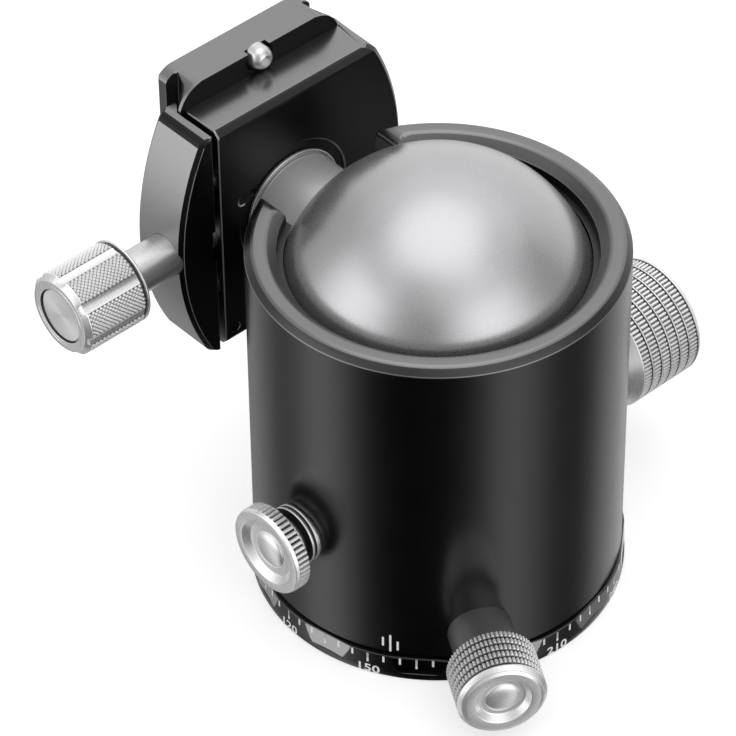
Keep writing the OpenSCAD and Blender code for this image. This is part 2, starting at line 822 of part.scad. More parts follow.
// The undercut of a jaw from the floor up, on one side of the dovetail
module jaw_section(side, back) {
  mid = dovetail_mid;
  polygon([
    [mid + side * groove_half, clamp_z], [mid + side * back, clamp_z],
    [mid + side * back, jaw_z], [mid + side * tip_half, jaw_z],
    [mid + side * tip_half, floor_z + flank_foot + jaw_lap],
    [mid + side * groove_half, floor_z + flank_foot]
  ]);
}

module clamp_body() {
  color(black) on_neck() difference() {
    intersection() {
      along_clamp(clamp_len) union() {
        translate([body_side, clamp_z])
          square([dovetail_mid + groove_half - body_side + edge, clamp_floor_t]);
        jaw_section(1, clamp_crest);
      }
      bow(1);
    }
    rod(clamp_recess_d / 2, clamp_z - over, clamp_z + clamp_recess_t);
    rod(bolt_r + push_fit, clamp_z - over, floor_z + over);
    rod(bolt_head_r + push_fit, floor_z - bolt_head_sink - bolt_head_h, floor_z + over);
    underside_marks();
    for (side = [-1, 1])
      translate([side * pin_x, 0, pin_z]) rotate([90, 0, 0]) {
        rod(pin_r + push_fit, -pin_root, -body_side + over);
        rod(spring_r + spring_wire, -body_side - spring_depth, -body_side + over);
      }
    translate([0, 0, knob_z]) rotate([90, 0, 0])
      rod(clamp_screw_r + run_fit, -screw_hole_end(), -body_side + over);
  }
}

// A blind slot and a blind hole in the underside, beside the recess
module underside_marks() {
  slot_r = 1;
  slot_x = 0.54 * clamp_recess_d / 2;
  for (y = [-0.74 * clamp_recess_d / 2 - 2.4 * slot_r, -0.74 * clamp_recess_d / 2])
    translate([slot_x, y, 0]) rod(slot_r, clamp_z - over, clamp_z + slot_r);
  translate([slot_x - slot_r, -0.74 * clamp_recess_d / 2 - 2.4 * slot_r, clamp_z - over])
    cube([2 * slot_r, 2.4 * slot_r, slot_r + over]);
  translate([-0.87 * clamp_len / 2, body_side + 2.4 * slot_r, 0])
    rod(slot_r, clamp_z - over, clamp_z + slot_r);
}

// The clamp screw's thread stops short of the bolt in the middle of the clamp
function screw_hole_end() = -(bolt_head_r + 2 * edge);

module clamp_bolt() {
  head_foot = floor_z - bolt_head_sink - bolt_head_h;
  head_top = floor_z - bolt_head_sink;
  neck_end = clamp_z + clamp_recess_t - face_gap - neck_washer_t;
  color(steel) on_neck() difference() {
    turned([
      [0, neck_end - bolt_reach + edge], [bolt_r - edge, neck_end - bolt_reach + edge],
      [bolt_r, neck_end - bolt_reach + 2 * edge], [bolt_r, head_foot],
      [bolt_head_r, head_foot], [bolt_head_r, head_top - edge], [bolt_head_r - edge, head_top],
      [0, head_top]
    ]);
    key_socket(socket_share * bolt_head_r, head_foot + bolt_head_h / 4, head_top + over);
  }
}

module guide_pins() {
  color(steel) on_neck()
    for (side = [-1, 1])
      translate([side * pin_x, 0, pin_z]) rotate([90, 0, 0])
        turned([
          [0, -pin_root], [pin_r, -pin_root], [pin_r, -pin_tip - edge],
          [pin_r - edge, -pin_tip], [0, -pin_tip]
        ]);
}

// One open coil about Z with flat faces, swept as a six-sided tube
module coil(r, wire, length, turns) {
  rings = turns * spring_steps + 1;
  points = [
    for (i = [0:rings - 1], j = [0:spring_sides - 1])
      let (a = 360 * i / spring_steps, b = 360 * j / spring_sides,
           reach = r + wire / 2 * cos(b))
        [reach * cos(a), reach * sin(a),
         wire / 2 + (length - wire) * i / (rings - 1) + wire / 2 * sin(b)]
  ];
  sides = [
    for (i = [0:rings - 2], j = [0:spring_sides - 1])
      let (k = (j + 1) % spring_sides, low = i * spring_sides, high = low + spring_sides)
        each [[low + j, high + j, high + k], [low + j, high + k, low + k]]
  ];
  ends = concat(
    [for (j = [1:spring_sides - 2]) [0, j, j + 1]],
    [for (j = [1:spring_sides - 2])
      let (low = (rings - 1) * spring_sides) [low, low + j + 1, low + j]]);
  polyhedron(points, concat(sides, ends));
}

module jaw_springs() {
  foot = -body_side - spring_depth;
  color(steel) on_neck()
    for (side = [-1, 1])
      translate([side * pin_x, 0, pin_z]) rotate([90, 0, 0]) translate([0, 0, foot + face_gap])
        coil(pin_r + spring_wire, spring_wire, spring_depth + jaw_gap - 2 * face_gap,
             spring_turns);
}

module clamp_jaw() {
  color(black) on_neck() difference() {
    intersection() {
      along_clamp(clamp_len) jaw_section(-1, clamp_crest + dovetail_mid);
      bow(-1);
    }
    for (side = [-1, 1])
      translate([side * pin_x, 0, pin_z]) rotate([90, 0, 0])
        rod(pin_r + run_fit, -jaw_inner - over, -pin_tip + edge);
    translate([0, 0, knob_z]) rotate([90, 0, 0]) {
      rod(clamp_screw_r + run_fit, -jaw_inner - over, clamp_crest + over);
      rod(clamp_shaft_r + run_fit, shaft_start - face_gap, clamp_crest + over);
      rod(clamp_screw_d - edge, -jaw_inner - over, -jaw_inner + clip_t + clip_room);
    }
  }
}

// Clamp screw and knob

module clamp_screw() {
  neck = clamp_screw_r - edge;
  clip_at = -jaw_inner + clip_room / 2;
  color(silver) on_knob_axis() turned([
    [0, screw_tip_at()], [clamp_screw_r - edge, screw_tip_at()],
    [clamp_screw_r, screw_tip_at() + edge], [clamp_screw_r, clip_at], [neck, clip_at],
    [neck, clip_at + clip_t], [clamp_screw_r, clip_at + clip_t], [clamp_screw_r, shaft_start],
    [clamp_shaft_r, shaft_start], [clamp_shaft_r, clamp_knob_back],
    [clamp_screw_r, clamp_knob_back], [clamp_screw_r, clamp_knob_back + 0.7 * clamp_knob_len],
    [0, clamp_knob_back + 0.7 * clamp_knob_len]
  ]);
}

// The tip stays this far from the end of its thread when the jaw is closed
function screw_tip_at() = -screw_hole_end() + edge;

module clamp_screw_clip() {
  clip_at = -jaw_inner + clip_room / 2;
  color(steel) on_knob_axis() difference() {
    rod(clamp_screw_r + 2 * edge, clip_at, clip_at + clip_t);
    rod(clamp_screw_r - edge, clip_at - over, clip_at + clip_t + over);
    translate([0, -clamp_screw_r / 2, clip_at - over])
      cube([2 * clamp_screw_d, clamp_screw_r, clip_t + 2 * over]);
  }
}

module clamp_knob() {
  r = clamp_knob_d / 2;
  rim = 0.07 * clamp_knob_len;
  cap_r = 0.66 * r;
  cap_t = 0.1 * clamp_knob_len;
  groove_at = clamp_knob_back + 0.12 * clamp_knob_len;
  groove_end = clamp_knob_back + 0.2 * clamp_knob_len;
  groove_r = r - 1.3 * flute_depth;
  flute_from = (groove_at + groove_end) / 2;
  flute_r = 0.32 * r;
  color(silver) on_knob_axis() difference() {
    turned([
      [0, clamp_knob_back], [0.94 * r, clamp_knob_back], [r, clamp_knob_back + rim / 2],
      [r, groove_at], [groove_r, groove_at], [groove_r, groove_end], [r, groove_end],
      [r, clamp_knob_face - rim], [r - rim, clamp_knob_face], [0, clamp_knob_face]
    ]);
    rod(clamp_screw_r + push_fit, clamp_knob_back - over, clamp_knob_back + 0.7 * clamp_knob_len);
    rod(cap_r + push_fit, clamp_knob_face - cap_t, clamp_knob_face + over);
    for (i = [0:flutes - 1])
      rotate([0, 0, i * 360 / flutes]) translate([r + flute_r - flute_depth, 0, 0])
        rod(flute_r, flute_from, clamp_knob_face + over);
  }
}

module clamp_knob_cap() {
  r = 0.66 * clamp_knob_d / 2;
  t = 0.1 * clamp_knob_len;
  color(silver) on_knob_axis() turned([
    [0, clamp_knob_face - t], [r, clamp_knob_face - t], [r, clamp_knob_face - t / 2],
    [0.92 * r, clamp_knob_face - t / 3], [0.88 * r, clamp_knob_face - t / 2],
    [0, clamp_knob_face - t / 2]
  ]);
}

// Quick-release plate

module plate_section() {
  half = [
    [dovetail_half, plate_z], [dovetail_half, plate_z + flank_foot], [waist_half, flank_top],
    [waist_half, flange_foot], [flange_half, flange_foot + flange_lip],
    [flange_half, plate_top - edge], [flange_half - edge, plate_top]
  ];
  last = len(half) - 1;
  translate([dovetail_mid, 0]) polygon(concat(
    half, [for (i = [last:-1:0]) [-half[i][0], half[i][1]]]));
}

// The plate's outline with round corners, seen along the neck
module plate_outline() {
  long = plate_len / 2 - plate_corner;
  wide = dovetail_half - plate_corner;
  translate([plate_mid, dovetail_mid, plate_z - over]) linear_extrude(plate_t + 2 * over) union() {
    translate([-long, -dovetail_half]) square([2 * long, 2 * dovetail_half]);
    translate([-plate_len / 2, -wide]) square([plate_len, 2 * wide]);
    for (x = [-1, 1], y = [-1, 1]) translate([x * long, y * wide]) circle(r = plate_corner);
  }
}

// Where the two rubber strips lie, raised or sunk as asked
module pad_strips(from, to) {
  strip = plate_len - 2 * pad_border - 2 * plate_corner;
  for (side = [-1, 1])
    translate([plate_mid - strip / 2,
               dovetail_mid + side * (flange_half - pad_border - pad_w / 2) - pad_w / 2, from])
      cube([strip, pad_w, to - from]);
}

module plate() {
  color(black) on_neck() difference() {
    intersection() {
      translate([plate_mid, 0, 0]) along_clamp(plate_len) plate_section();
      plate_outline();
    }
    pad_strips(plate_top - pad_sink, plate_top + over);
    translate([plate_mid, dovetail_mid, 0]) {
      rod(camera_r + run_fit, plate_z - over, plate_top + over);
      rod(camera_head_r + run_fit, plate_z - over,
          plate_z + camera_head_sink + camera_head_h + face_gap);
      rod(camera_r + 3 * edge, plate_top - 2 * edge, plate_top + over);
    }
    translate([stop_x, dovetail_mid, 0]) {
      rod(stop_head_r / 2 + push_fit, plate_z - over, plate_z + 0.6 * plate_t);
      rod(stop_pocket_r, plate_z - over, plate_z + stop_pocket_t);
    }
  }
}

module plate_pads() {
  color(rubber) on_neck() pad_strips(plate_top - pad_sink, plate_top + pad_t - pad_sink);
}

module stop_screw() {
  head_top = plate_z + stop_pocket_t;
  head_foot = plate_z - stop_head_h;
  color(steel) on_neck() translate([stop_x, dovetail_mid, 0]) difference() {
    turned([
      [0, head_foot], [stop_head_r - edge, head_foot], [stop_head_r, head_foot + edge],
      [stop_head_r, head_top], [stop_head_r / 2, head_top],
      [stop_head_r / 2, plate_z + 0.55 * plate_t], [0, plate_z + 0.55 * plate_t]
    ]);
    key_socket(socket_share * stop_head_r, head_foot - over, head_foot + stop_head_r / 2);
  }
}

module camera_screw() {
  head_foot = plate_z + camera_head_sink;
  head_top = head_foot + camera_head_h;
  color(steel) on_neck() translate([plate_mid, dovetail_mid, 0]) difference() {
    turned([
      [0, head_foot], [camera_head_r - edge, head_foot], [camera_head_r, head_foot + edge],
      [camera_head_r, head_top], [camera_r - edge, head_top], [camera_r - edge, plate_top],
      [camera_r, plate_top], [camera_r, plate_top + camera_screw_len - edge],
      [camera_r - edge, plate_top + camera_screw_len], [0, plate_top + camera_screw_len]
    ]);
    key_socket(socket_share * camera_head_r / 2 + edge, head_foot - over,
               head_foot + camera_head_h);
    translate([-camera_head_d, -edge, head_foot - over])
      cube([2 * camera_head_d, 2 * edge, over + camera_head_h / 3]);
  }
}

module camera_screw_clip() {
  color(steel) on_neck() translate([plate_mid, dovetail_mid, 0]) difference() {
    rod(camera_r + 2 * edge, plate_top - 1.5 * edge, plate_top - edge / 2);
    rod(camera_r - edge, plate_top - 3 * edge, plate_top + over);
    translate([0, -camera_r / 2, plate_top - 3 * edge])
      cube([2 * camera_r, camera_r, 3 * edge + over]);
  }
}

pan_base();
thread_insert();
pan_washer();
keeper_plate();
keeper_screws();
housing();
bearing_ring();
wedge_guide();
cup_spring();
upper_seat_ring();
main_collar();
drag_collar();
pan_collar();
seat_cup();
main_wedge();
main_screw();
main_knob();
main_knob_cap();
drag_wedge();
drag_screw();
drag_knob();
pan_brake_pad();
pan_screw();
pan_knob();
ball();
neck_washer();
clamp_body();
clamp_bolt();
guide_pins();
jaw_springs();
clamp_jaw();
clamp_screw();
clamp_screw_clip();
clamp_knob();
clamp_knob_cap();
plate();
plate_pads();
stop_screw();
camera_screw();
camera_screw_clip();
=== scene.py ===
"""Looks of a tripod ball head: panning base, ball housing, lock knobs and a plate clamp.

Lengths are millimetres until a mesh is finished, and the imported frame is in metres. +Z is the pan
axis, the drop notch faces -X, and the main lock knob faces +Y.
"""

from __future__ import annotations

import logging
import math
from dataclasses import dataclass, field
from enum import Enum
from typing import Any, Callable, Sequence

import bmesh
import bpy
from mathutils import Matrix, Vector

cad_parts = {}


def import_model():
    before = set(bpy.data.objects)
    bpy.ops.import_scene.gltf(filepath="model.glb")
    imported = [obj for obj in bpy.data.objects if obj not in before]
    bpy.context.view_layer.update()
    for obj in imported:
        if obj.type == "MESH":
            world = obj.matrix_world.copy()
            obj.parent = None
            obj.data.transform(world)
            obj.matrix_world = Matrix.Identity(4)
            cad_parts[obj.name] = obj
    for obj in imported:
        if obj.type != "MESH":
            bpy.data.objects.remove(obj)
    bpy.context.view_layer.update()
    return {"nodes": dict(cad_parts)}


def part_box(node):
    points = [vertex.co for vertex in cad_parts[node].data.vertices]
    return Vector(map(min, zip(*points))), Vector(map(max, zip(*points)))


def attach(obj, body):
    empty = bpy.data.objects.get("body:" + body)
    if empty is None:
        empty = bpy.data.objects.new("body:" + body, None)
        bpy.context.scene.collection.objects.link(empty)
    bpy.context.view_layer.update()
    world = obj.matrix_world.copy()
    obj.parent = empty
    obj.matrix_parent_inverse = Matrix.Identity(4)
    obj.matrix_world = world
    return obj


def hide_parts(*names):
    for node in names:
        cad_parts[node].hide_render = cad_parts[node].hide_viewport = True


LOG = logging.getLogger("ball_head")
MM = 0.001

Point2 = tuple[float, float]
Corner = tuple[float, float, float]


# ---------------------------------------------------------------- frames and profiles


def move(x: float, y: float, z: float) -> Matrix:
    """A shift in millimetres."""
    return Matrix.Translation((x, y, z))


def turn(degrees: float, axis: str) -> Matrix:
    """A turn about one of the axes X, Y or Z."""
    return Matrix.Rotation(math.radians(degrees), 4, axis)


def radial(direction: float, height: float) -> Matrix:
    """Places a piece built along +Z on a horizontal axis of the housing.

    Args:
        direction: Azimuth of the axis in degrees.
        height: Height of the axis in millimetres.

    Returns:
        The placing matrix in millimetres.
    """
    return turn(direction, "Z") @ move(0, 0, height) @ turn(90, "Y")


BALL_Z = 60.03
CLAMP_SCREW_Z = 42.88
ON_NECK = move(0, 0, BALL_Z) @ turn(-90, "Y")
ON_CLAMP_KNOB = ON_NECK @ move(0, 0, CLAMP_SCREW_Z) @ turn(90, "X")
ON_MAIN_KNOB = radial(90, 24)
ON_DRAG_KNOB = radial(-90, 26.3)
ON_PAN_KNOB = radial(-30, 11.5)

SHORTEST = 1e-6
ARC_STEP = 15.0
LEAST_BEND = 0.01
EDGE_SHARE = 0.48
DOME_STEPS = 9
KNOB_STEPS = 192
DRILL_LEAD = 0.5


def rounded(corners: Sequence[Corner], closed: bool = False, each: int = 0) -> list[Point2]:
    """Rounds the corners of a section.

    Args:
        corners: Each corner's two coordinates and its rounding radius.
        closed: Whether the last corner joins the first.
        each: Steps on each corner's arc, however little it bends, or 0 to go by the angle.

    Returns:
        The section's points.
    """
    out: list[Point2] = []
    count = len(corners)
    for i, (x, y, radius) in enumerate(corners):
        tip = Vector((x, y))
        back = Vector(corners[i - 1][:2]) - tip
        ahead = Vector(corners[(i + 1) % count][:2]) - tip
        shorter = min(back.length, ahead.length)
        if radius <= 0 or shorter < SHORTEST or (not closed and i in (0, count - 1)):
            out.append((x, y))
            continue
        back.normalize()
        ahead.normalize()
        bend = math.pi - back.angle(ahead)
        if not LEAST_BEND <= bend <= math.pi - LEAST_BEND:
            out += [(x, y)] * (each + 1)
            continue
        cut = min(radius * math.tan(bend / 2), EDGE_SHARE * shorter)
        true_radius = cut / math.tan(bend / 2)
        centre = tip + (back + ahead).normalized() * (true_radius / math.cos(bend / 2))
        spoke = tip + back * cut - centre
        last = tip + ahead * cut - centre
        sign = 1.0 if spoke.x * last.y - spoke.y * last.x > 0 else -1.0
        steps = each or max(2, math.ceil(math.degrees(bend) / ARC_STEP))
        for k in range(steps + 1):
            a = sign * bend * k / steps
            out.append((centre.x + spoke.x * math.cos(a) - spoke.y * math.sin(a),
                        centre.y + spoke.x * math.sin(a) + spoke.y * math.cos(a)))
    return out


# ---------------------------------------------------------------- meshes


@dataclass
class Shell:
    """Vertices and faces in millimetres, gathered before they become a mesh."""

    verts: list[Vector]
    faces: list[tuple[int, ...]]

    def mesh(self, name: str, weld: float = 1e-4) -> bpy.types.Mesh:
        """Makes a mesh in metres.

        Args:
            name: Name of the mesh.
            weld: Vertices closer than this many millimetres become one.

        Returns:
            A closed mesh whose faces point outwards.
        """
        mesh = bpy.data.meshes.new(name)
        mesh.from_pydata([v * MM for v in self.verts], [], self.faces)
        bm = bmesh.new()
        bm.from_mesh(mesh)
        bmesh.ops.remove_doubles(bm, verts=bm.verts, dist=weld * MM)
        bmesh.ops.recalc_face_normals(bm, faces=bm.faces)
        bm.to_mesh(mesh)
        bm.free()
        return mesh


def lathe(section: Sequence[Point2], segments: int = 144, closed: bool = False,
          warp: Callable[[float, float, float], float] | None = None) -> Shell:
    """Turns a section of radius and height points about the Z axis.

    Args:
        section: The points, each a radius and a height.
        segments: Steps round the axis.
        closed: Whether the last point joins the first, as on a ring.
        warp: Gives the radius for a radius, height and angle, if it isn't the same all round.

    Returns:
        The turned shell.
    """
    verts: list[Vector] = []
    rings: list[range] = []
    for r, z in section:
        first = len(verts)
        for k in range(1 if r < SHORTEST else segments):
            a = 2 * math.pi * k / segments
            q = 0.0 if r < SHORTEST else warp(r, z, a) if warp else r
            verts.append(Vector((q * math.cos(a), q * math.sin(a), z)))
        rings.append(range(first, len(verts)))
    faces: list[tuple[int, ...]] = []
    for low, high in zip(rings, rings[1:] + (rings[:1] if closed else [])):
        for k in range(segments):
            n = (k + 1) % segments
            face = tuple(dict.fromkeys((low[k % len(low)], low[n % len(low)],
                                        high[n % len(high)], high[k % len(high)])))
            if len(face) > 2:
                faces.append(face)
    return Shell(verts, faces)


def loft(sections: Sequence[Sequence[Sequence[float]]], ring: bool = False) -> Shell:
    """Joins closed sections of equal length into a body.

    Args:
        sections: Lists of three-number points, one list for each station.
        ring: Whether the last section joins the first, in place of a face at each end.

    Returns:
        The shell between them.
    """
    size, stations = len(sections[0]), len(sections)
    if any(len(s) != size for s in sections):
        raise ValueError("the sections of a loft need equally many points")
    faces: list[tuple[int, ...]] = []
    for i in range(stations if ring else stations - 1):
        j = (i + 1) % stations
        for k in range(size):
            n = (k + 1) % size
            faces.append((i * size + k, i * size + n, j * size + n, j * size + k))
    if not ring:
        faces.append(tuple(range(size)))
        faces.append(tuple((stations - 1) * size + k for k in reversed(range(size))))
    return Shell([Vector(p) for s in sections for p in s], faces)


def settle(obj: bpy.types.Object) -> bpy.types.Object:
    """Applies all of an object's modifiers by taking its evaluated mesh.

    Args:
        obj: The object.

    Returns:
        The same object, with its evaluated mesh.
    """
    bpy.context.view_layer.update()
    graph = bpy.context.evaluated_depsgraph_get()
    mesh = bpy.data.meshes.new_from_object(obj.evaluated_get(graph),
                                           preserve_all_data_layers=True, depsgraph=graph)
    old = obj.data
    obj.modifiers.clear()
    obj.data = mesh
    if old.users == 0:
        bpy.data.meshes.remove(old)
    return obj


def show(name: str, mesh: bpy.types.Mesh) -> bpy.types.Object:
    """Links a mesh into the scene as an object.

    Args:
        name: Name of the object.
        mesh: Its mesh.

    Returns:
        The object.
    """
    obj = bpy.data.objects.new(name, mesh)
    bpy.context.scene.collection.objects.link(obj)
    return obj


def discard(obj: bpy.types.Object) -> None:
    """Deletes a helper object and its mesh.

    Args:
        obj: The object.
    """
    mesh = obj.data
    bpy.data.objects.remove(obj)
    if mesh and mesh.users == 0:
        bpy.data.meshes.remove(mesh)


def carve(mesh: bpy.types.Mesh, cutters: Sequence[bpy.types.Mesh]) -> bpy.types.Mesh:
    """Cuts closed meshes out of a closed mesh.

    Args:
        mesh: The mesh that is cut.
        cutters: The meshes that are taken out of it, which are used up.

    Returns:
        The cut mesh.
    """
    body = show("carved", mesh)
    tools = []
    for i, cutter in enumerate(cutters):
        tool = show(f"cutter_{i}", cutter)
        step = body.modifiers.new("Cut", "BOOLEAN")
        step.operation = "DIFFERENCE"
        step.solver = "EXACT"
        step.object = tool
        tools.append(tool)
    settle(body)
    cut = body.data
    bpy.data.objects.remove(body)
    for tool in tools:
        discard(tool)
    return cut


def drill(radius: float, start: float, end: float, place: Matrix, flare: float = 0.0,
          segments: int = 64) -> bpy.types.Mesh:
    """Makes a cutter for a round hole.

    Args:
        radius: Radius of the hole.
        start: Where the hole begins along its axis, at its mouth.
        end: Where it ends.
        place: Placing matrix of the axis.
        flare: How far the mouth is broken at 45 degrees.
        segments: Steps round the hole.

    Returns:
        The cutter's mesh in metres.
    """
    sign = 1.0 if end > start else -1.0
    mouth = start - sign * (flare or DRILL_LEAD)
    section: list[Point2] = [(0, end), (radius, end)]
    if flare:
        section.append((radius, start + sign * flare))
    shell = lathe([*section, (radius + 2 * flare, mouth), (0, mouth)], segments)
    shell.verts = [place @ v for v in shell.verts]
    return shell.mesh("cutter")


def paint(mesh: bpy.types.Mesh, rule: Callable[[Vector, Vector], int]) -> bpy.types.Mesh:
    """Chooses the material slot of each face.

    Args:
        mesh: A mesh in metres.
        rule: Gives the slot for a face's middle in millimetres and its normal.

    Returns:
        The same mesh.
    """
    for face in mesh.polygons:
        face.material_index = rule(face.center / MM, face.normal)
    return mesh


def slotted(mesh: bpy.types.Mesh, slot: int) -> bpy.types.Mesh:
    """Puts all of a mesh's faces in one material slot."""
    return paint(mesh, lambda spot, normal: slot)


def dome(radius: float, foot: float, crown: float, inner: float = 0.0) -> list[Point2]:
    """Section of a dome, from its foot in towards the axis.

    Args:
        radius: Radius of the dome's foot.
        foot: Height of the foot.
        crown: Height of the crown.
        inner: Radius where the section stops.

    Returns:
        The section's points.
    """
    last = math.acos(inner / radius)
    angles = [last * k / DOME_STEPS for k in range(DOME_STEPS + 1)]
    return [(radius * math.cos(a), foot + (crown - foot) * math.sin(a)) for a in angles]


def hand_over(name: str, meshes: Sequence[bpy.types.Mesh], place: Matrix | None,
              materials: Sequence[bpy.types.Material], body: str, slot: str, *nodes: str,
              sharp: float = 34.0) -> None:
    """Joins meshes into one finished piece on its body, with smooth faces and crisp edges.

    Args:
        name: Name of the piece.
        meshes: Meshes in metres, which are used up.
        place: Placing matrix in millimetres, or None if they are in place.
        materials: The piece's materials, by slot.
        body: The body that it rides on.
        slot: The record's material slot; not used.
        nodes: The nodes that it replaces, if there are any.
        sharp: Edges bent by more than this many degrees stay sharp.
    """
    bm = bmesh.new()
    for mesh in meshes:
        bm.from_mesh(mesh)
    if place:
        bmesh.ops.transform(bm, matrix=place, verts=bm.verts, space=Matrix.Scale(1 / MM, 4))
    bm.normal_update()
    for face in bm.faces:
        face.smooth = True
    limit = math.radians(sharp)
    for edge in bm.edges:
        edge.smooth = len(edge.link_faces) == 2 and edge.calc_face_angle(0.0) < limit
    joined = bpy.data.meshes.new(name)
    bm.to_mesh(joined)
    bm.free()
    for mesh in meshes:
        if mesh.users == 0:
            bpy.data.meshes.remove(mesh)
    for material in materials:
        joined.materials.append(material)
    obj = show(name, joined)
    weigh = obj.modifiers.new("Weighted normals", "WEIGHTED_NORMAL")
    weigh.keep_sharp = True
    weigh.mode = "FACE_AREA"
    settle(obj)
    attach(obj, body)
    if nodes:
        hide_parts(*nodes)
    LOG.info("%s: %d faces on %s", obj.name, len(obj.data.polygons), body)


# ---------------------------------------------------------------- node trees


class NodeSketch:
    """A short way to write a node tree."""

    def __init__(self, tree: bpy.types.NodeTree) -> None:
        """Takes the tree that the nodes go into."""
        self.tree = tree

    def feed(self, socket: bpy.types.NodeSocket, value: Any) -> None:
        """Links a socket into an input, or sets the input's own value.

        Args:
            socket: The input.
            value: A socket, or a plain value.
        """
        if isinstance(value, bpy.types.NodeSocket):
            self.tree.links.new(value, socket)
        else:
            socket.default_value = value

    def add(self, kind: str, values: dict[str | int, Any] | None = None,
            **settings: Any) -> bpy.types.Node:
        """Adds a node.

        Args:
            kind: The node's type.
            values: What goes into its inputs, by name or number.
            settings: The node's own settings.

        Returns:
            The node.
        """
        node = self.tree.nodes.new(kind)
        for key, value in settings.items():
            setattr(node, key, value)
        for key, value in (values or {}).items():
            self.feed(node.inputs[key], value)
        return node


class FieldSketch(NodeSketch):
    """A node tree under construction, with sums and vectors."""

    def math(self, operation: str, *values: Any) -> bpy.types.NodeSocket:
        """Adds a Math node and returns its result."""
        node = self.add("ShaderNodeMath", dict(enumerate(values)), operation=operation)
        return node.outputs[0]

    def vector(self, x: Any, y: Any, z: Any) -> bpy.types.NodeSocket:
        """Combines three numbers into a vector."""
        return self.add("ShaderNodeCombineXYZ", {0: x, 1: y, 2: z}).outputs[0]


class Pattern:
    """Copies of one piece, laid out and dressed by a Geometry Nodes tree."""

    NAME: str = "Pattern"
    INPUTS: tuple[tuple[str, str], ...] = ()

    def __init__(self) -> None:
        """Builds the tree once, for every pattern of its kind."""
        self.tree = bpy.data.node_groups.new(self.NAME, "GeometryNodeTree")
        self.keys: dict[str, str] = {}
        for name, kind in (("Piece", "NodeSocketObject"), *self.INPUTS,
                           ("Finish", "NodeSocketMaterial")):
            socket = self.tree.interface.new_socket(name=name, in_out="INPUT", socket_type=kind)
            self.keys[name] = socket.identifier
        self.tree.interface.new_socket(name="Geometry", in_out="OUTPUT",
                                       socket_type="NodeSocketGeometry")
        f = FieldSketch(self.tree)
        given = f.add("NodeGroupInput").outputs
        piece = f.add("GeometryNodeObjectInfo", {"Object": given["Piece"]},
                      transform_space="ORIGINAL")
        copies = f.add("GeometryNodeInstanceOnPoints",
                       {**self.places(f, given), "Instance": piece.outputs["Geometry"]})
        real = f.add("GeometryNodeRealizeInstances", {"Geometry": copies.outputs[0]})
        dressed = f.add("GeometryNodeSetMaterial",
                        {"Geometry": real.outputs[0], "Material": given["Finish"]})
        f.add("NodeGroupOutput", {0: dressed.outputs[0]})

    def places(self, f: FieldSketch, given: Any) -> dict[str, bpy.types.NodeSocket]:
        """Draws the points that the copies go to, and their turns."""
        raise NotImplementedError

    def realise(self, piece: Shell, values: dict[str, Any]) -> bpy.types.Mesh:
        """Runs the tree once.

        Args:
            piece: The piece that repeats, at the origin.
            values: What goes into the tree's other inputs, by name.

        Returns:
            The realised copies as one mesh in metres.
        """
        seed = show("piece", piece.mesh("piece"))
        carrier = show("pattern", bpy.data.meshes.new("pattern"))
        made = carrier.modifiers.new(self.NAME, "NODES")
        made.node_group = self.tree
        for name, value in {"Piece": seed, **values}.items():
            made[self.keys[name]] = value
        mesh = settle(carrier).data
        mesh.materials.clear()
        bpy.data.objects.remove(carrier)
        discard(seed)
        return mesh


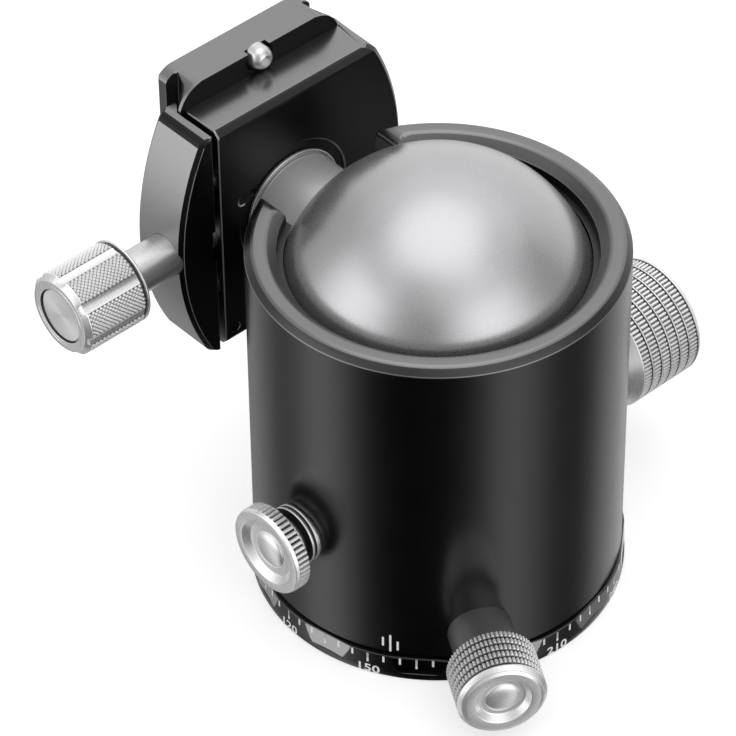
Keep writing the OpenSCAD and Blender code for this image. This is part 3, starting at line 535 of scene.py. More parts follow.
class RingPattern(Pattern):
    """Teeth in rows round an axis."""

    NAME = "Ring Pattern"
    INPUTS = (
        ("Teeth", "NodeSocketInt"), ("Rows", "NodeSocketInt"), ("Radius", "NodeSocketFloat"),
        ("First Height", "NodeSocketFloat"), ("Row Pitch", "NodeSocketFloat"),
        ("Stagger", "NodeSocketFloat"), ("Lands", "NodeSocketInt"),
        ("Land Share", "NodeSocketFloat"), ("Start Angle", "NodeSocketFloat"),
    )

    def places(self, f: FieldSketch, given: Any) -> dict[str, bpy.types.NodeSocket]:
        """Draws the teeth's places round the axis.

        Args:
            f: The tree under construction.
            given: The tree's inputs.

        Returns:
            The points that are kept on the lands, and their turns about the axis.
        """
        index = f.add("GeometryNodeInputIndex").outputs[0]
        row = f.math("FLOOR", f.math("DIVIDE", index, given["Teeth"]))
        column = f.math("SUBTRACT", index, f.math("MULTIPLY", row, given["Teeth"]))
        odd = f.math("MODULO", row, 2.0)
        place = f.math("ADD", column, f.math("MULTIPLY", odd, given["Stagger"]))
        step = f.math("DIVIDE", 2 * math.pi, given["Teeth"])
        angle = f.math("ADD", f.math("MULTIPLY", place, step), given["Start Angle"])
        height = f.math("ADD", given["First Height"], f.math("MULTIPLY", row, given["Row Pitch"]))
        spot = f.vector(f.math("MULTIPLY", given["Radius"], f.math("COSINE", angle)),
                        f.math("MULTIPLY", given["Radius"], f.math("SINE", angle)), height)
        total = f.math("MULTIPLY", given["Teeth"], given["Rows"])
        points = f.add("GeometryNodePoints", {"Count": total, "Position": spot})
        phase = f.math("FRACT", f.math("MULTIPLY", f.math("DIVIDE", angle, 2 * math.pi),
                                       given["Lands"]))
        off_land = f.math("GREATER_THAN", f.math("ABSOLUTE", f.math("SUBTRACT", phase, 0.5)),
                          f.math("MULTIPLY", given["Land Share"], 0.5))
        kept = f.add("GeometryNodeDeleteGeometry",
                     {"Geometry": points.outputs[0], "Selection": off_land}, domain="POINT")
        here = f.add("ShaderNodeSeparateXYZ", {0: f.add("GeometryNodeInputPosition").outputs[0]})
        facing = f.math("ARCTAN2", here.outputs[1], here.outputs[0])
        spin = f.add("FunctionNodeEulerToRotation", {0: f.vector(0.0, 0.0, facing)})
        return {"Points": kept.outputs[0], "Rotation": spin.outputs[0]}

    def lay(self, tooth: Shell, teeth: int, rows: int, radius: float, first: float, pitch: float,
            finish: bpy.types.Material, stagger: float = 0.0, lands: int = 0,
            share: float = 1.2, start: float = 0.0) -> bpy.types.Mesh:
        """Lays one pattern.

        Args:
            tooth: One tooth, at the origin, standing out along +X.
            teeth: Teeth in a full row.
            rows: Number of rows.
            radius: Radius that the teeth stand on.
            first: Height of the first row.
            pitch: Distance between rows.
            finish: The teeth's material.
            stagger: Shift of every second row, in teeth.
            lands: Number of lands that carry teeth, or 0 for teeth all round.
            share: Share of each land's turn that carries teeth.
            start: Angle of the first tooth in degrees.

        Returns:
            The realised teeth as one mesh in metres.
        """
        return self.realise(tooth, {
            "Teeth": teeth, "Rows": rows, "Radius": radius * MM, "First Height": first * MM,
            "Row Pitch": pitch * MM, "Stagger": stagger, "Lands": lands, "Land Share": share,
            "Start Angle": math.radians(start), "Finish": finish})


class RowPattern(Pattern):
    """Copies of one piece in a straight row."""

    NAME = "Row Pattern"
    INPUTS = (("Count", "NodeSocketInt"), ("Start", "NodeSocketVector"),
              ("Step", "NodeSocketVector"))

    def places(self, f: FieldSketch, given: Any) -> dict[str, bpy.types.NodeSocket]:
        """Draws the row's points."""
        line = f.add("GeometryNodeMeshLine", {"Count": given["Count"], "Offset": given["Step"],
                                              "Start Location": given["Start"]})
        return {"Points": line.outputs[0]}

    def lay(self, piece: Shell, count: int, start: Corner, step: Corner,
            finish: bpy.types.Material) -> bpy.types.Mesh:
        """Lays one row.

        Args:
            piece: The piece that repeats, at the origin.
            count: Number of copies.
            start: Where the first copy goes.
            step: From each copy to the next.
            finish: The copies' material.

        Returns:
            The realised row as one mesh in metres.
        """
        return self.realise(piece, {"Count": count, "Start": Vector(start) * MM,
                                    "Step": Vector(step) * MM, "Finish": finish})


# ---------------------------------------------------------------- finishes


FINE_SHARE = 0.6
BROAD_SCALE = 160.0
NOISE_LOW, NOISE_HIGH = 0.3, 0.7
BUMP_STRENGTH = 0.6
ROUND_DRIFT = 0.02


class Grain(Enum):
    """How a finish's fine marks run."""

    BLASTED = "blasted"
    TURNED = "turned"


@dataclass(frozen=True)
class Finish:
    """A procedural finish. Its even values sit on the shader, and its noise is in real sizes.

    Attributes:
        name: Name of the finish.
        color: Linear base colour.
        metallic: How metallic it is.
        roughness: Middle of the roughness.
        spread: How far the roughness wanders about the middle.
        mottle: Share by which the colour wanders.
        grain: How the fine marks run.
        pitch: Size of the fine marks in millimetres.
        relief: Height of the fine marks in millimetres.
        ior: Refractive index of a finish that isn't metallic.
        anisotropic: Strength of the stretched highlights of turned metal.
    """

    name: str
    color: tuple[float, float, float]
    metallic: float = 0.0
    roughness: float = 0.4
    spread: float = 0.05
    mottle: float = 0.06
    grain: Grain = Grain.BLASTED
    pitch: float = 0.25
    relief: float = 0.004
    ior: float = 1.5
    anisotropic: float = 0.0

    def material(self, place: Matrix | None = None, suffix: str = "") -> bpy.types.Material:
        """Builds the finish as a material.

        Args:
            place: Placing matrix of the piece's axis in millimetres, which centres turned marks.
            suffix: Added to the name, where a finish is centred on one piece.

        Returns:
            The material.
        """
        mat = bpy.data.materials.new(self.name + suffix)
        mat.use_nodes = True
        s = FieldSketch(mat.node_tree)
        shader = next(n for n in mat.node_tree.nodes if n.type == "BSDF_PRINCIPLED")
        for name, value in (("Metallic", self.metallic), ("IOR", self.ior),
                            ("Anisotropic", self.anisotropic)):
            shader.inputs[name].default_value = value
        where = s.add("ShaderNodeTexCoord").outputs["Object"]
        if place is not None:
            spot, angles = place.to_translation() * MM, place.to_euler()
            where = s.add("ShaderNodeMapping", {"Vector": where, "Location": tuple(spot),
                                                "Rotation": tuple(angles)},
                          vector_type="TEXTURE").outputs[0]
        marks = self.marks(s, where)
        fine = s.add("ShaderNodeTexNoise", {"Vector": marks, "Scale": 1 / (self.pitch * MM),
                                            "Detail": 3.0, "Roughness": 0.6}).outputs[0]
        broad = s.add("ShaderNodeTexNoise", {"Vector": where, "Scale": BROAD_SCALE,
                                             "Detail": 4.0}).outputs[0]
        mixed = s.math("ADD", s.math("MULTIPLY", fine, FINE_SHARE),
                       s.math("MULTIPLY", broad, 1 - FINE_SHARE))
        rough = s.add("ShaderNodeMapRange",
                      {"Value": mixed, "From Min": NOISE_LOW, "From Max": NOISE_HIGH,
                       "To Min": self.roughness - self.spread,
                       "To Max": self.roughness + self.spread})
        s.feed(shader.inputs["Roughness"], rough.outputs[0])
        ramp = s.add("ShaderNodeValToRGB", {"Fac": mixed})
        low, high = ramp.color_ramp.elements
        low.position, high.position = NOISE_LOW, NOISE_HIGH
        low.color = (*(c * (1 - self.mottle) for c in self.color), 1)
        high.color = (*(min(c * (1 + self.mottle), 1) for c in self.color), 1)
        s.feed(shader.inputs["Base Color"], ramp.outputs[0])
        bump = s.add("ShaderNodeBump", {"Height": fine, "Strength": BUMP_STRENGTH,
                                        "Distance": self.relief * MM})
        s.feed(shader.inputs["Normal"], bump.outputs[0])
        if self.anisotropic and place is not None:
            local = s.add("ShaderNodeVectorMath", {0: (0.0, 0.0, 1.0), 1: where},
                          operation="CROSS_PRODUCT")
            back = s.add("ShaderNodeMapping", {"Vector": local.outputs[0],
                                               "Rotation": tuple(place.to_euler())},
                         vector_type="VECTOR").outputs[0]
            unit = s.add("ShaderNodeVectorMath", {0: back}, operation="NORMALIZE")
            s.feed(shader.inputs["Tangent"], unit.outputs[0])
        return mat

    def marks(self, s: FieldSketch, where: bpy.types.NodeSocket) -> bpy.types.NodeSocket:
        """Stretches the coordinates along the way the marks run.

        Args:
            s: The tree under construction.
            where: Coordinates in the piece's own frame.

        Returns:
            Coordinates for the fine noise.
        """
        if self.grain is Grain.BLASTED:
            return where
        parts = s.add("ShaderNodeSeparateXYZ", {0: where}).outputs
        reach = s.math("SQRT", s.math("ADD", s.math("MULTIPLY", parts[0], parts[0]),
                                      s.math("MULTIPLY", parts[1], parts[1])))
        return s.vector(reach, parts[2], s.math("MULTIPLY", parts[0], ROUND_DRIFT))


BLACK_ANODISED = Finish("Black anodised", (0.002, 0.002, 0.0022), roughness=0.24, spread=0.03,
                        mottle=0.3, pitch=0.18, relief=0.002, ior=1.85)
RIM_TOP = Finish("Smooth black rim", (0.003, 0.003, 0.0032), roughness=0.28, spread=0.03,
                 mottle=0.3, pitch=0.2, relief=0.003, ior=2.65)
BLACK_GLOSS = Finish("Smooth black anodised", (0.003, 0.003, 0.0032), roughness=0.24, spread=0.03,
                     mottle=0.3, pitch=0.2, relief=0.002, ior=2.9)
RIM_CHAMFER = Finish("Rough black chamfer", (0.004, 0.004, 0.0042), roughness=0.22, spread=0.08,
                     mottle=0.3, pitch=0.22, relief=0.008, ior=1.66)
RIM_BEVEL = Finish("Black bevel", (0.004, 0.004, 0.0042), roughness=0.3, spread=0.04,
                   mottle=0.3, pitch=0.2, relief=0.003, ior=2.0)
# Painted shade: a darker, less glossy copy of the black anodising for undersides and the housing's
# lip, which lie in shade.
SHADE_BLACK = Finish("Painted shade black", (0.0015, 0.0015, 0.0016), roughness=0.32, spread=0.04,
                    mottle=0.3, pitch=0.2, relief=0.002, ior=1.36)
# Painted highlight: a grey strip along the black parts' lower edges and the mouths of holes,
# standing for light caught on the edges.
EDGE_HIGHLIGHT = Finish("Painted edge highlight", (0.16, 0.16, 0.165), roughness=0.3, spread=0.06,
                   mottle=0.1, pitch=0.15, relief=0.002, ior=2.9)
# Painted highlight: a thin grey line along the lower edge of the rim chamfer and the top of the
# lip.
RIM_HIGHLIGHT = Finish("Painted rim highlight", (0.07, 0.07, 0.072), roughness=0.3, spread=0.06,
                  mottle=0.1, pitch=0.15, relief=0.002, ior=2.4)
BLACK_CHAMFER = Finish("Dark chamfer", (0.003, 0.003, 0.0032), roughness=0.3, spread=0.04,
                       mottle=0.3, pitch=0.2, relief=0.003, ior=1.48)
# Painted reflection: grey colour on the jaw's black outer face, standing for the light that face
# mirrors.
JAW_REFLECTION_GREY = Finish("Jaw painted reflection", (0.14, 0.14, 0.145), roughness=0.3, spread=0.03,
                    mottle=0.06, pitch=0.18, relief=0.002, ior=2.9)
GREY_ANODISED = Finish("Grey anodised", (0.03, 0.03, 0.032), roughness=0.36, spread=0.05,
                       pitch=0.2, grain=Grain.TURNED, ior=2.6)
BALL_METAL = Finish("Satin ball", (0.49, 0.49, 0.5), metallic=0.85, roughness=0.28, spread=0.05,
                    mottle=0.05, pitch=0.2, relief=0.0028)
NECK_METAL = Finish("Satin neck", (0.6, 0.6, 0.61), metallic=0.5, roughness=0.32, spread=0.05,
                    mottle=0.06, pitch=0.2, relief=0.003, ior=2.2)
FLAT_METAL = Finish("Milled flat", (0.55, 0.55, 0.56), metallic=1.0, roughness=0.17, spread=0.03,
                    mottle=0.08, pitch=0.2, relief=0.0012)
# Painted shade: a near-black floor for cut grooves, the gap round the clamp knob's disc, and the
# drag knob's boss and collar, which lie in shade.
GROOVE_SHADE = Finish("Groove painted shade", (0.03, 0.03, 0.032), metallic=0.3, roughness=0.5,
                      mottle=0.2, pitch=0.2, relief=0.006)
# Painted shade: a darker floor between knurled teeth.
KNURL_SHADE = Finish("Knurl painted shade", (0.16, 0.16, 0.165), metallic=0.3, roughness=0.45,
                     mottle=0.2, pitch=0.2, relief=0.006)
DISC_METAL = Finish("Spun disc", (0.95, 0.95, 0.96), metallic=0.6, roughness=0.3, spread=0.04,
                    mottle=0.04, grain=Grain.TURNED, pitch=0.1, relief=0.002, ior=2.2,
                    anisotropic=0.8)
KNOB_METAL = Finish("Turned aluminium", (0.86, 0.86, 0.87), metallic=0.72, roughness=0.27,
                    spread=0.06, mottle=0.05, grain=Grain.TURNED, pitch=0.12, relief=0.004,
                    ior=2.2, anisotropic=0.4)
TOOTH_METAL = Finish("Knurled aluminium", (0.86, 0.86, 0.87), metallic=0.6, roughness=0.3,
                     spread=0.08, mottle=0.08, pitch=0.3, relief=0.004, ior=2.2)
SHAFT_METAL = Finish("Polished shaft", (0.66, 0.66, 0.67), metallic=0.9, roughness=0.3,
                     spread=0.06, grain=Grain.TURNED, pitch=0.1, relief=0.003, ior=2.2)
STEEL = Finish("Machined steel", (0.5, 0.5, 0.51), metallic=0.8, roughness=0.3, spread=0.08,
               grain=Grain.TURNED, pitch=0.12, relief=0.003)
SPRING_STEEL = Finish("Spring steel", (0.36, 0.36, 0.37), metallic=0.8, roughness=0.32)
RAW_ALUMINIUM = Finish("Plain aluminium", (0.6, 0.6, 0.61), metallic=0.7, roughness=0.42,
                       spread=0.08, grain=Grain.TURNED, pitch=0.2, relief=0.006)
BRONZE = Finish("Bearing bronze", (0.5, 0.33, 0.14), metallic=0.8, roughness=0.38, spread=0.08,
                mottle=0.12, grain=Grain.TURNED, pitch=0.2, relief=0.004)
SLIDE_PLASTIC = Finish("White bearing plastic", (0.82, 0.82, 0.79), roughness=0.5, mottle=0.03,
                       pitch=0.5, relief=0.01)
SEAT_PLASTIC = Finish("Ivory seat plastic", (0.72, 0.69, 0.6), roughness=0.45, mottle=0.05,
                      grain=Grain.TURNED, pitch=0.25, relief=0.006)
BLACK_PLASTIC = Finish("Black seat plastic", (0.012, 0.012, 0.012), roughness=0.4, mottle=0.15,
                       pitch=0.4, relief=0.006)
RUBBER = Finish("Ribbed rubber", (0.018, 0.018, 0.019), roughness=0.7, spread=0.08, mottle=0.2,
                pitch=0.35, relief=0.02, ior=1.45)
WHITE_PAINT = Finish("White scale paint", (0.85, 0.85, 0.84), roughness=0.5, spread=0.06,
                     mottle=0.05, pitch=0.15, relief=0.004)


# ---------------------------------------------------------------- painted marks

PAINT_RISE = 0.02
PAINT_SINK = -0.06
PATCH_ACROSS = 2
PATCH_UP = 4


def wrapped_patch(start: float, end: float, low: float, high: float, radius: float) -> Shell:
    """Makes a thin painted patch that lies on a round face.

    Args:
        start: First angle in degrees.
        end: Last angle.
        low: Lowest height.
        high: Greatest height.
        radius: Radius of the face.

    Returns:
        The closed patch.
    """
    verts, faces = [], []
    for depth in (PAINT_RISE, PAINT_SINK):
        for j in range(PATCH_UP + 1):
            for i in range(PATCH_ACROSS + 1):
                a = math.radians(start + (end - start) * i / PATCH_ACROSS)
                r, z = radius + depth, low + (high - low) * j / PATCH_UP
                verts.append(Vector((r * math.cos(a), r * math.sin(a), z)))
    row = PATCH_ACROSS + 1
    layer = row * (PATCH_UP + 1)
    for j in range(PATCH_UP):
        for i in range(PATCH_ACROSS):
            k = j * row + i
            faces.append((k, k + 1, k + row + 1, k + row))
            faces.append((layer + k, layer + k + row, layer + k + row + 1, layer + k + 1))
    rim = (list(range(row)) + [PATCH_ACROSS + row * j for j in range(1, PATCH_UP + 1)]
           + [row * PATCH_UP + i for i in range(PATCH_ACROSS - 1, -1, -1)]
           + [row * j for j in range(PATCH_UP - 1, 0, -1)])
    for here, ahead in zip(rim, rim[1:] + rim[:1]):
        faces.append((here, layer + here, layer + ahead, ahead))
    return Shell(verts, faces)


# ---------------------------------------------------------------- housing

QUARTER_ROUND = 0.293


@dataclass(frozen=True)
class Collar:
    """A threaded collar that a knob stands on, and the stepped bore that it sits in.

    Attributes:
        node: The node that it replaces.
        place: Placing matrix of its axis.
        hole: Radius of the bore round its sleeve.
        seat: Radius of the bore round its ring.
        bore: Radius of its own bore.
        sleeve: Radius of its sleeve.
        start: Where the sleeve begins.
        land: Where the ring begins.
        ring: Corners of the ring's outline.
    """

    node: str
    place: Matrix
    hole: float
    seat: float
    bore: float
    sleeve: float
    start: float
    land: float
    ring: tuple[Corner, ...]

    def bores(self, mouth: float, end: float) -> list[bpy.types.Mesh]:
        """Makes the cutters of the stepped bore in the wall."""
        return [drill(self.hole, mouth, end, self.place),
                drill(self.seat, mouth, self.land, self.place)]

    def build(self, body: str, slot: str, material: bpy.types.Material,
              groove: bpy.types.Material | None = None) -> None:
        """Turns the collar.

        Args:
            body: The body that it rides on.
            slot: The record's material slot.
            material: Its material.
            groove: Painted shade for the groove round the ring and for its front, if it has its
                own.
        """
        section = rounded([(self.bore, self.start, 0), (self.sleeve, self.start, 0.2),
                           (self.sleeve, self.land, 0), *self.ring])
        made = lathe(section, 96, closed=True).mesh(self.node)
        outer = max(corner[0] for corner in self.ring)
        front = max(corner[1] for corner in self.ring)
        # Painted shade: the collar's front and its groove take the groove material.
        if groove:
            paint(made, lambda spot, normal: int(
                spot.z > front - 0.03 or (self.land < spot.z < front - 0.3
                                          and math.hypot(spot.x, spot.y) < outer - 0.1)))
        hand_over(self.node + "_ring", [made], self.place, [material, groove or material], body,
                  slot, self.node)


MAIN_COLLAR = Collar("main_collar", ON_MAIN_KNOB, 5.45, 9.01, 4.05, 5.44, 29.375, 32.6, (
    (9.0, 32.6, 0), (9.0, 34.3, 0.3), (8.55, 34.7, 0.2), (8.55, 35.3, 0.2), (9.0, 35.7, 0.3),
    (9.0, 37.6, 0.5), (4.05, 37.6, 0.2)))
DRAG_COLLAR = Collar("drag_collar", ON_DRAG_KNOB, 3.51, 5.61, 2.55, 3.5, 29.375, 33.3, (
    (5.6, 33.3, 0), (5.6, 34.2, 0.15), (5.25, 34.35, 0.1), (5.25, 34.65, 0.1), (5.6, 34.8, 0.15),
    (5.6, 35.3, 0.2), (2.55, 35.3, 0.1)))
PAN_COLLAR = Collar("pan_collar", ON_PAN_KNOB, 4.21, 5.91, 3.05, 4.2, 28.45, 33.0, (
    (5.9, 33.0, 0), (5.9, 41.2, 0.5), (3.05, 41.2, 0.2)))


@dataclass
class BallHousing:
    """The tall black shell with its drop notch, and the three collars in its wall.

    The rim and the lip each have a painted highlight line at their edge, which line_above and
    line_below set out and line_reach paints.
    """

    inner: float = 30.3
    outer: float = 34.0
    foot: float = 5.5
    foot_round: float = 0.4
    rim: float = 74.83
    rim_chamfer: float = 1.5
    lip_radius: float = 28.3
    lip_top: float = 73.03
    lip_foot: float = 71.03
    line_above: float = 0.1
    line_below: float = 0.12
    notch: float = 13.2
    notch_z: float = 63.03
    notch_corner: float = 3.5
    break_edge: float = 0.38
    notch_steps: int = 24
    corner_steps: int = 14
    round_steps: int = 216
    lip_step: float = 0.003
    line_reach: float = 0.11
    bore_mouth: float = 36.0
    bore_end: float = 25.0
    index_angle: float = 302.65
    index_half: float = 0.2
    index_marks: tuple[Corner, ...] = ((0, 0.15, 4.1), (-2.3, 1.25, 2.2), (2.3, 0.7, 2.2))
    body: str = "housing"

    def outside(self, z: float) -> float:
        """Radius of the outer face at a height."""
        return self.outer - max(0.0, z - (self.rim - self.rim_chamfer))

    def inside(self, z: float) -> float:
        """Radius of the inner face at a height.

        Args:
            z: The height.

        Returns:
            The radius.
        """
        if z >= self.lip_top:
            rise = (z - self.lip_top) / (self.rim - self.lip_top)
            return self.lip_radius + rise * (self.inner - self.lip_radius)
        return self.lip_radius if z > self.lip_foot else self.inner

    def notch_line(self) -> list[tuple[float, float, float, float]]:
        """Follows the notch's edge from one top corner to the other.

        Returns:
            Points of the edge, each with its Y, its height and the normal into the wall.
        """
        half: list[tuple[float, float, float, float]] = []
        for k in range(self.notch_steps + 1):
            a = math.pi / 2 * k / self.notch_steps
            half.append((self.notch * math.sin(a), self.notch_z - self.notch * math.cos(a),
                         math.sin(a), -math.cos(a)))
        for z in (self.lip_foot - self.lip_step, self.lip_foot + self.lip_step):
            half.append((self.notch, z, 1.0, 0.0))
        wide, low = self.notch + self.notch_corner, self.rim - self.notch_corner
        for k in range(self.corner_steps + 1):
            a = math.pi / 2 * k / self.corner_steps
            half.append((wide - self.notch_corner * math.cos(a),
                         low + self.notch_corner * math.sin(a), math.cos(a), -math.sin(a)))
        left = [(-y, z, -ny, nz) for y, z, ny, nz in reversed(half[1:])]
        return left + half

    def column(self, y: float, z: float, ny: float, nz: float) -> list[Corner]:
        """Cuts the wall's section off under one point of the notch.

        Args:
            y: The point's Y.
            z: Its height.
            ny: Y of the normal into the wall.
            nz: Height of that normal.

        Returns:
            Radius, Y and height of each point of the section.
        """
        b = self.break_edge
        off_y, off_z = y + b * ny, z + b * nz
        mid_y, mid_z = y + b * ny * QUARTER_ROUND, z + b * nz * QUARTER_ROUND
        kink, top = self.rim - self.rim_chamfer, self.lip_top
        out: list[Corner] = [(self.outer - self.foot_round, off_y, self.foot),
                             (self.outer, off_y, self.foot + self.foot_round)]
        heights = [min(h, off_z) for h in (kink - self.line_below, kink + self.line_above, off_z)]
        out += [(self.outside(h), off_y, h) for h in heights]
        out += [(self.outside(mid_z) - QUARTER_ROUND * b, mid_y, mid_z),
                (self.outside(z) - b, y, z), (self.inside(z) + b, y, z),
                (self.inside(mid_z) + QUARTER_ROUND * b, mid_y, mid_z)]
        heights = [min(h, off_z) for h in (off_z, top + self.line_above, top - self.line_below)]
        out += [(self.inside(h), off_y, h) for h in heights]
        above_lip = off_z > self.lip_foot + 0.001
        out.append((self.lip_radius, off_y, self.lip_foot) if above_lip
                   else (self.inner, off_y, off_z))
        return [*out, (self.inner, off_y, min(self.lip_foot, off_z)),
                (self.inner, off_y, self.foot)]

    def shell(self) -> Shell:
        """Runs the wall's section round the ball, lowered where the notch is.

        Returns:
            The wall before its bores.
        """
        line = self.notch_line()
        sections = [[(-math.sqrt(r * r - y * y), y, z) for r, y, z in self.column(*point)]
                    for point in line]
        full = self.column(*line[-1])
        for k in range(1, self.round_steps):
            ring = []
            for r, y, z in full:
                first = math.asin(y / r)
                a = first + (2 * math.pi - 2 * first) * k / self.round_steps
                ring.append((-r * math.cos(a), r * math.sin(a), z))
            sections.append(ring)
        return loft(sections, ring=True)

    def slot(self, spot: Vector, normal: Vector) -> int:
        """Material slot of the wall: 2 chamfer, 3 bevel, 4 lip in painted shade, 5 painted
        highlight lines, 6 top.

        Args:
            spot: A face's middle, on the piece's axis.
            normal: The face's normal.

        Returns:
            The slot's number, or 0 for the plain wall.
        """
        reach, z = math.hypot(spot.x, spot.y), spot.z
        outwards = (normal.x * spot.x + normal.y * spot.y) / reach
        kink = self.rim - self.rim_chamfer
        if abs(z - kink) < self.line_reach and outwards > 0.5:
            return 5
        if abs(z - self.lip_top) < self.line_reach and outwards < -0.3:
            return 5
        if z > kink and normal.z > 0.8:
            return 6
        if z > kink and 0.5 < outwards < 0.8:
            return 2
        if z > self.lip_top and -0.9 < outwards < -0.5:
            return 3
        return 4 if outwards < -0.9 and z > self.lip_foot else 0

    def build(self, black: bpy.types.Material, white: bpy.types.Material) -> None:
        """Builds the housing with its bores, seats and index marks.

        Args:
            black: The wall's material.
            white: The paint.
        """
        bores = [cutter for collar in (MAIN_COLLAR, DRAG_COLLAR, PAN_COLLAR)
                 for cutter in collar.bores(self.bore_mouth, self.bore_end)]
        wall = paint(carve(self.shell().mesh("housing", weld=2e-3), bores), self.slot)
        marks = [self.index_mark(*mark) for mark in self.index_marks]
        # Painted light on the housing: shade on the lip, highlight lines along the rim and lip
        # edges.
        finishes = [black, white, RIM_CHAMFER.material(), RIM_BEVEL.material(),
                    SHADE_BLACK.material(suffix=" lip"), RIM_HIGHLIGHT.material(), RIM_TOP.material()]
        hand_over("housing_shell", [wall, *marks], None, finishes, self.body, "black_anodised",
                  "housing", sharp=38)
        MAIN_COLLAR.build(self.body, "black_anodised", black)
        DRAG_COLLAR.build(self.body, "silver_knob",
                          KNOB_METAL.material(ON_DRAG_KNOB, " drag collar"),
                          GROOVE_SHADE.material(suffix=" drag collar"))
        PAN_COLLAR.build(self.body, "grey_anodised",
                         GREY_ANODISED.material(ON_PAN_KNOB, " pan collar"))

    def index_mark(self, offset: float, low: float, tall: float) -> bpy.types.Mesh:
        """Makes one painted line on the housing's lower edge.

        Args:
            offset: Degrees from the middle line.
            low: Height of its lower end above the round of the housing's foot.
            tall: Height of the line.

        Returns:
            The line's mesh.
        """
        half = math.degrees(self.index_half / self.outer)
        mid = self.index_angle + offset
        start = self.foot + self.foot_round + low
        patch = wrapped_patch(mid - half, mid + half, start, start + tall, self.outer)
        return slotted(patch.mesh("index"), 1)


# ---------------------------------------------------------------- panning base


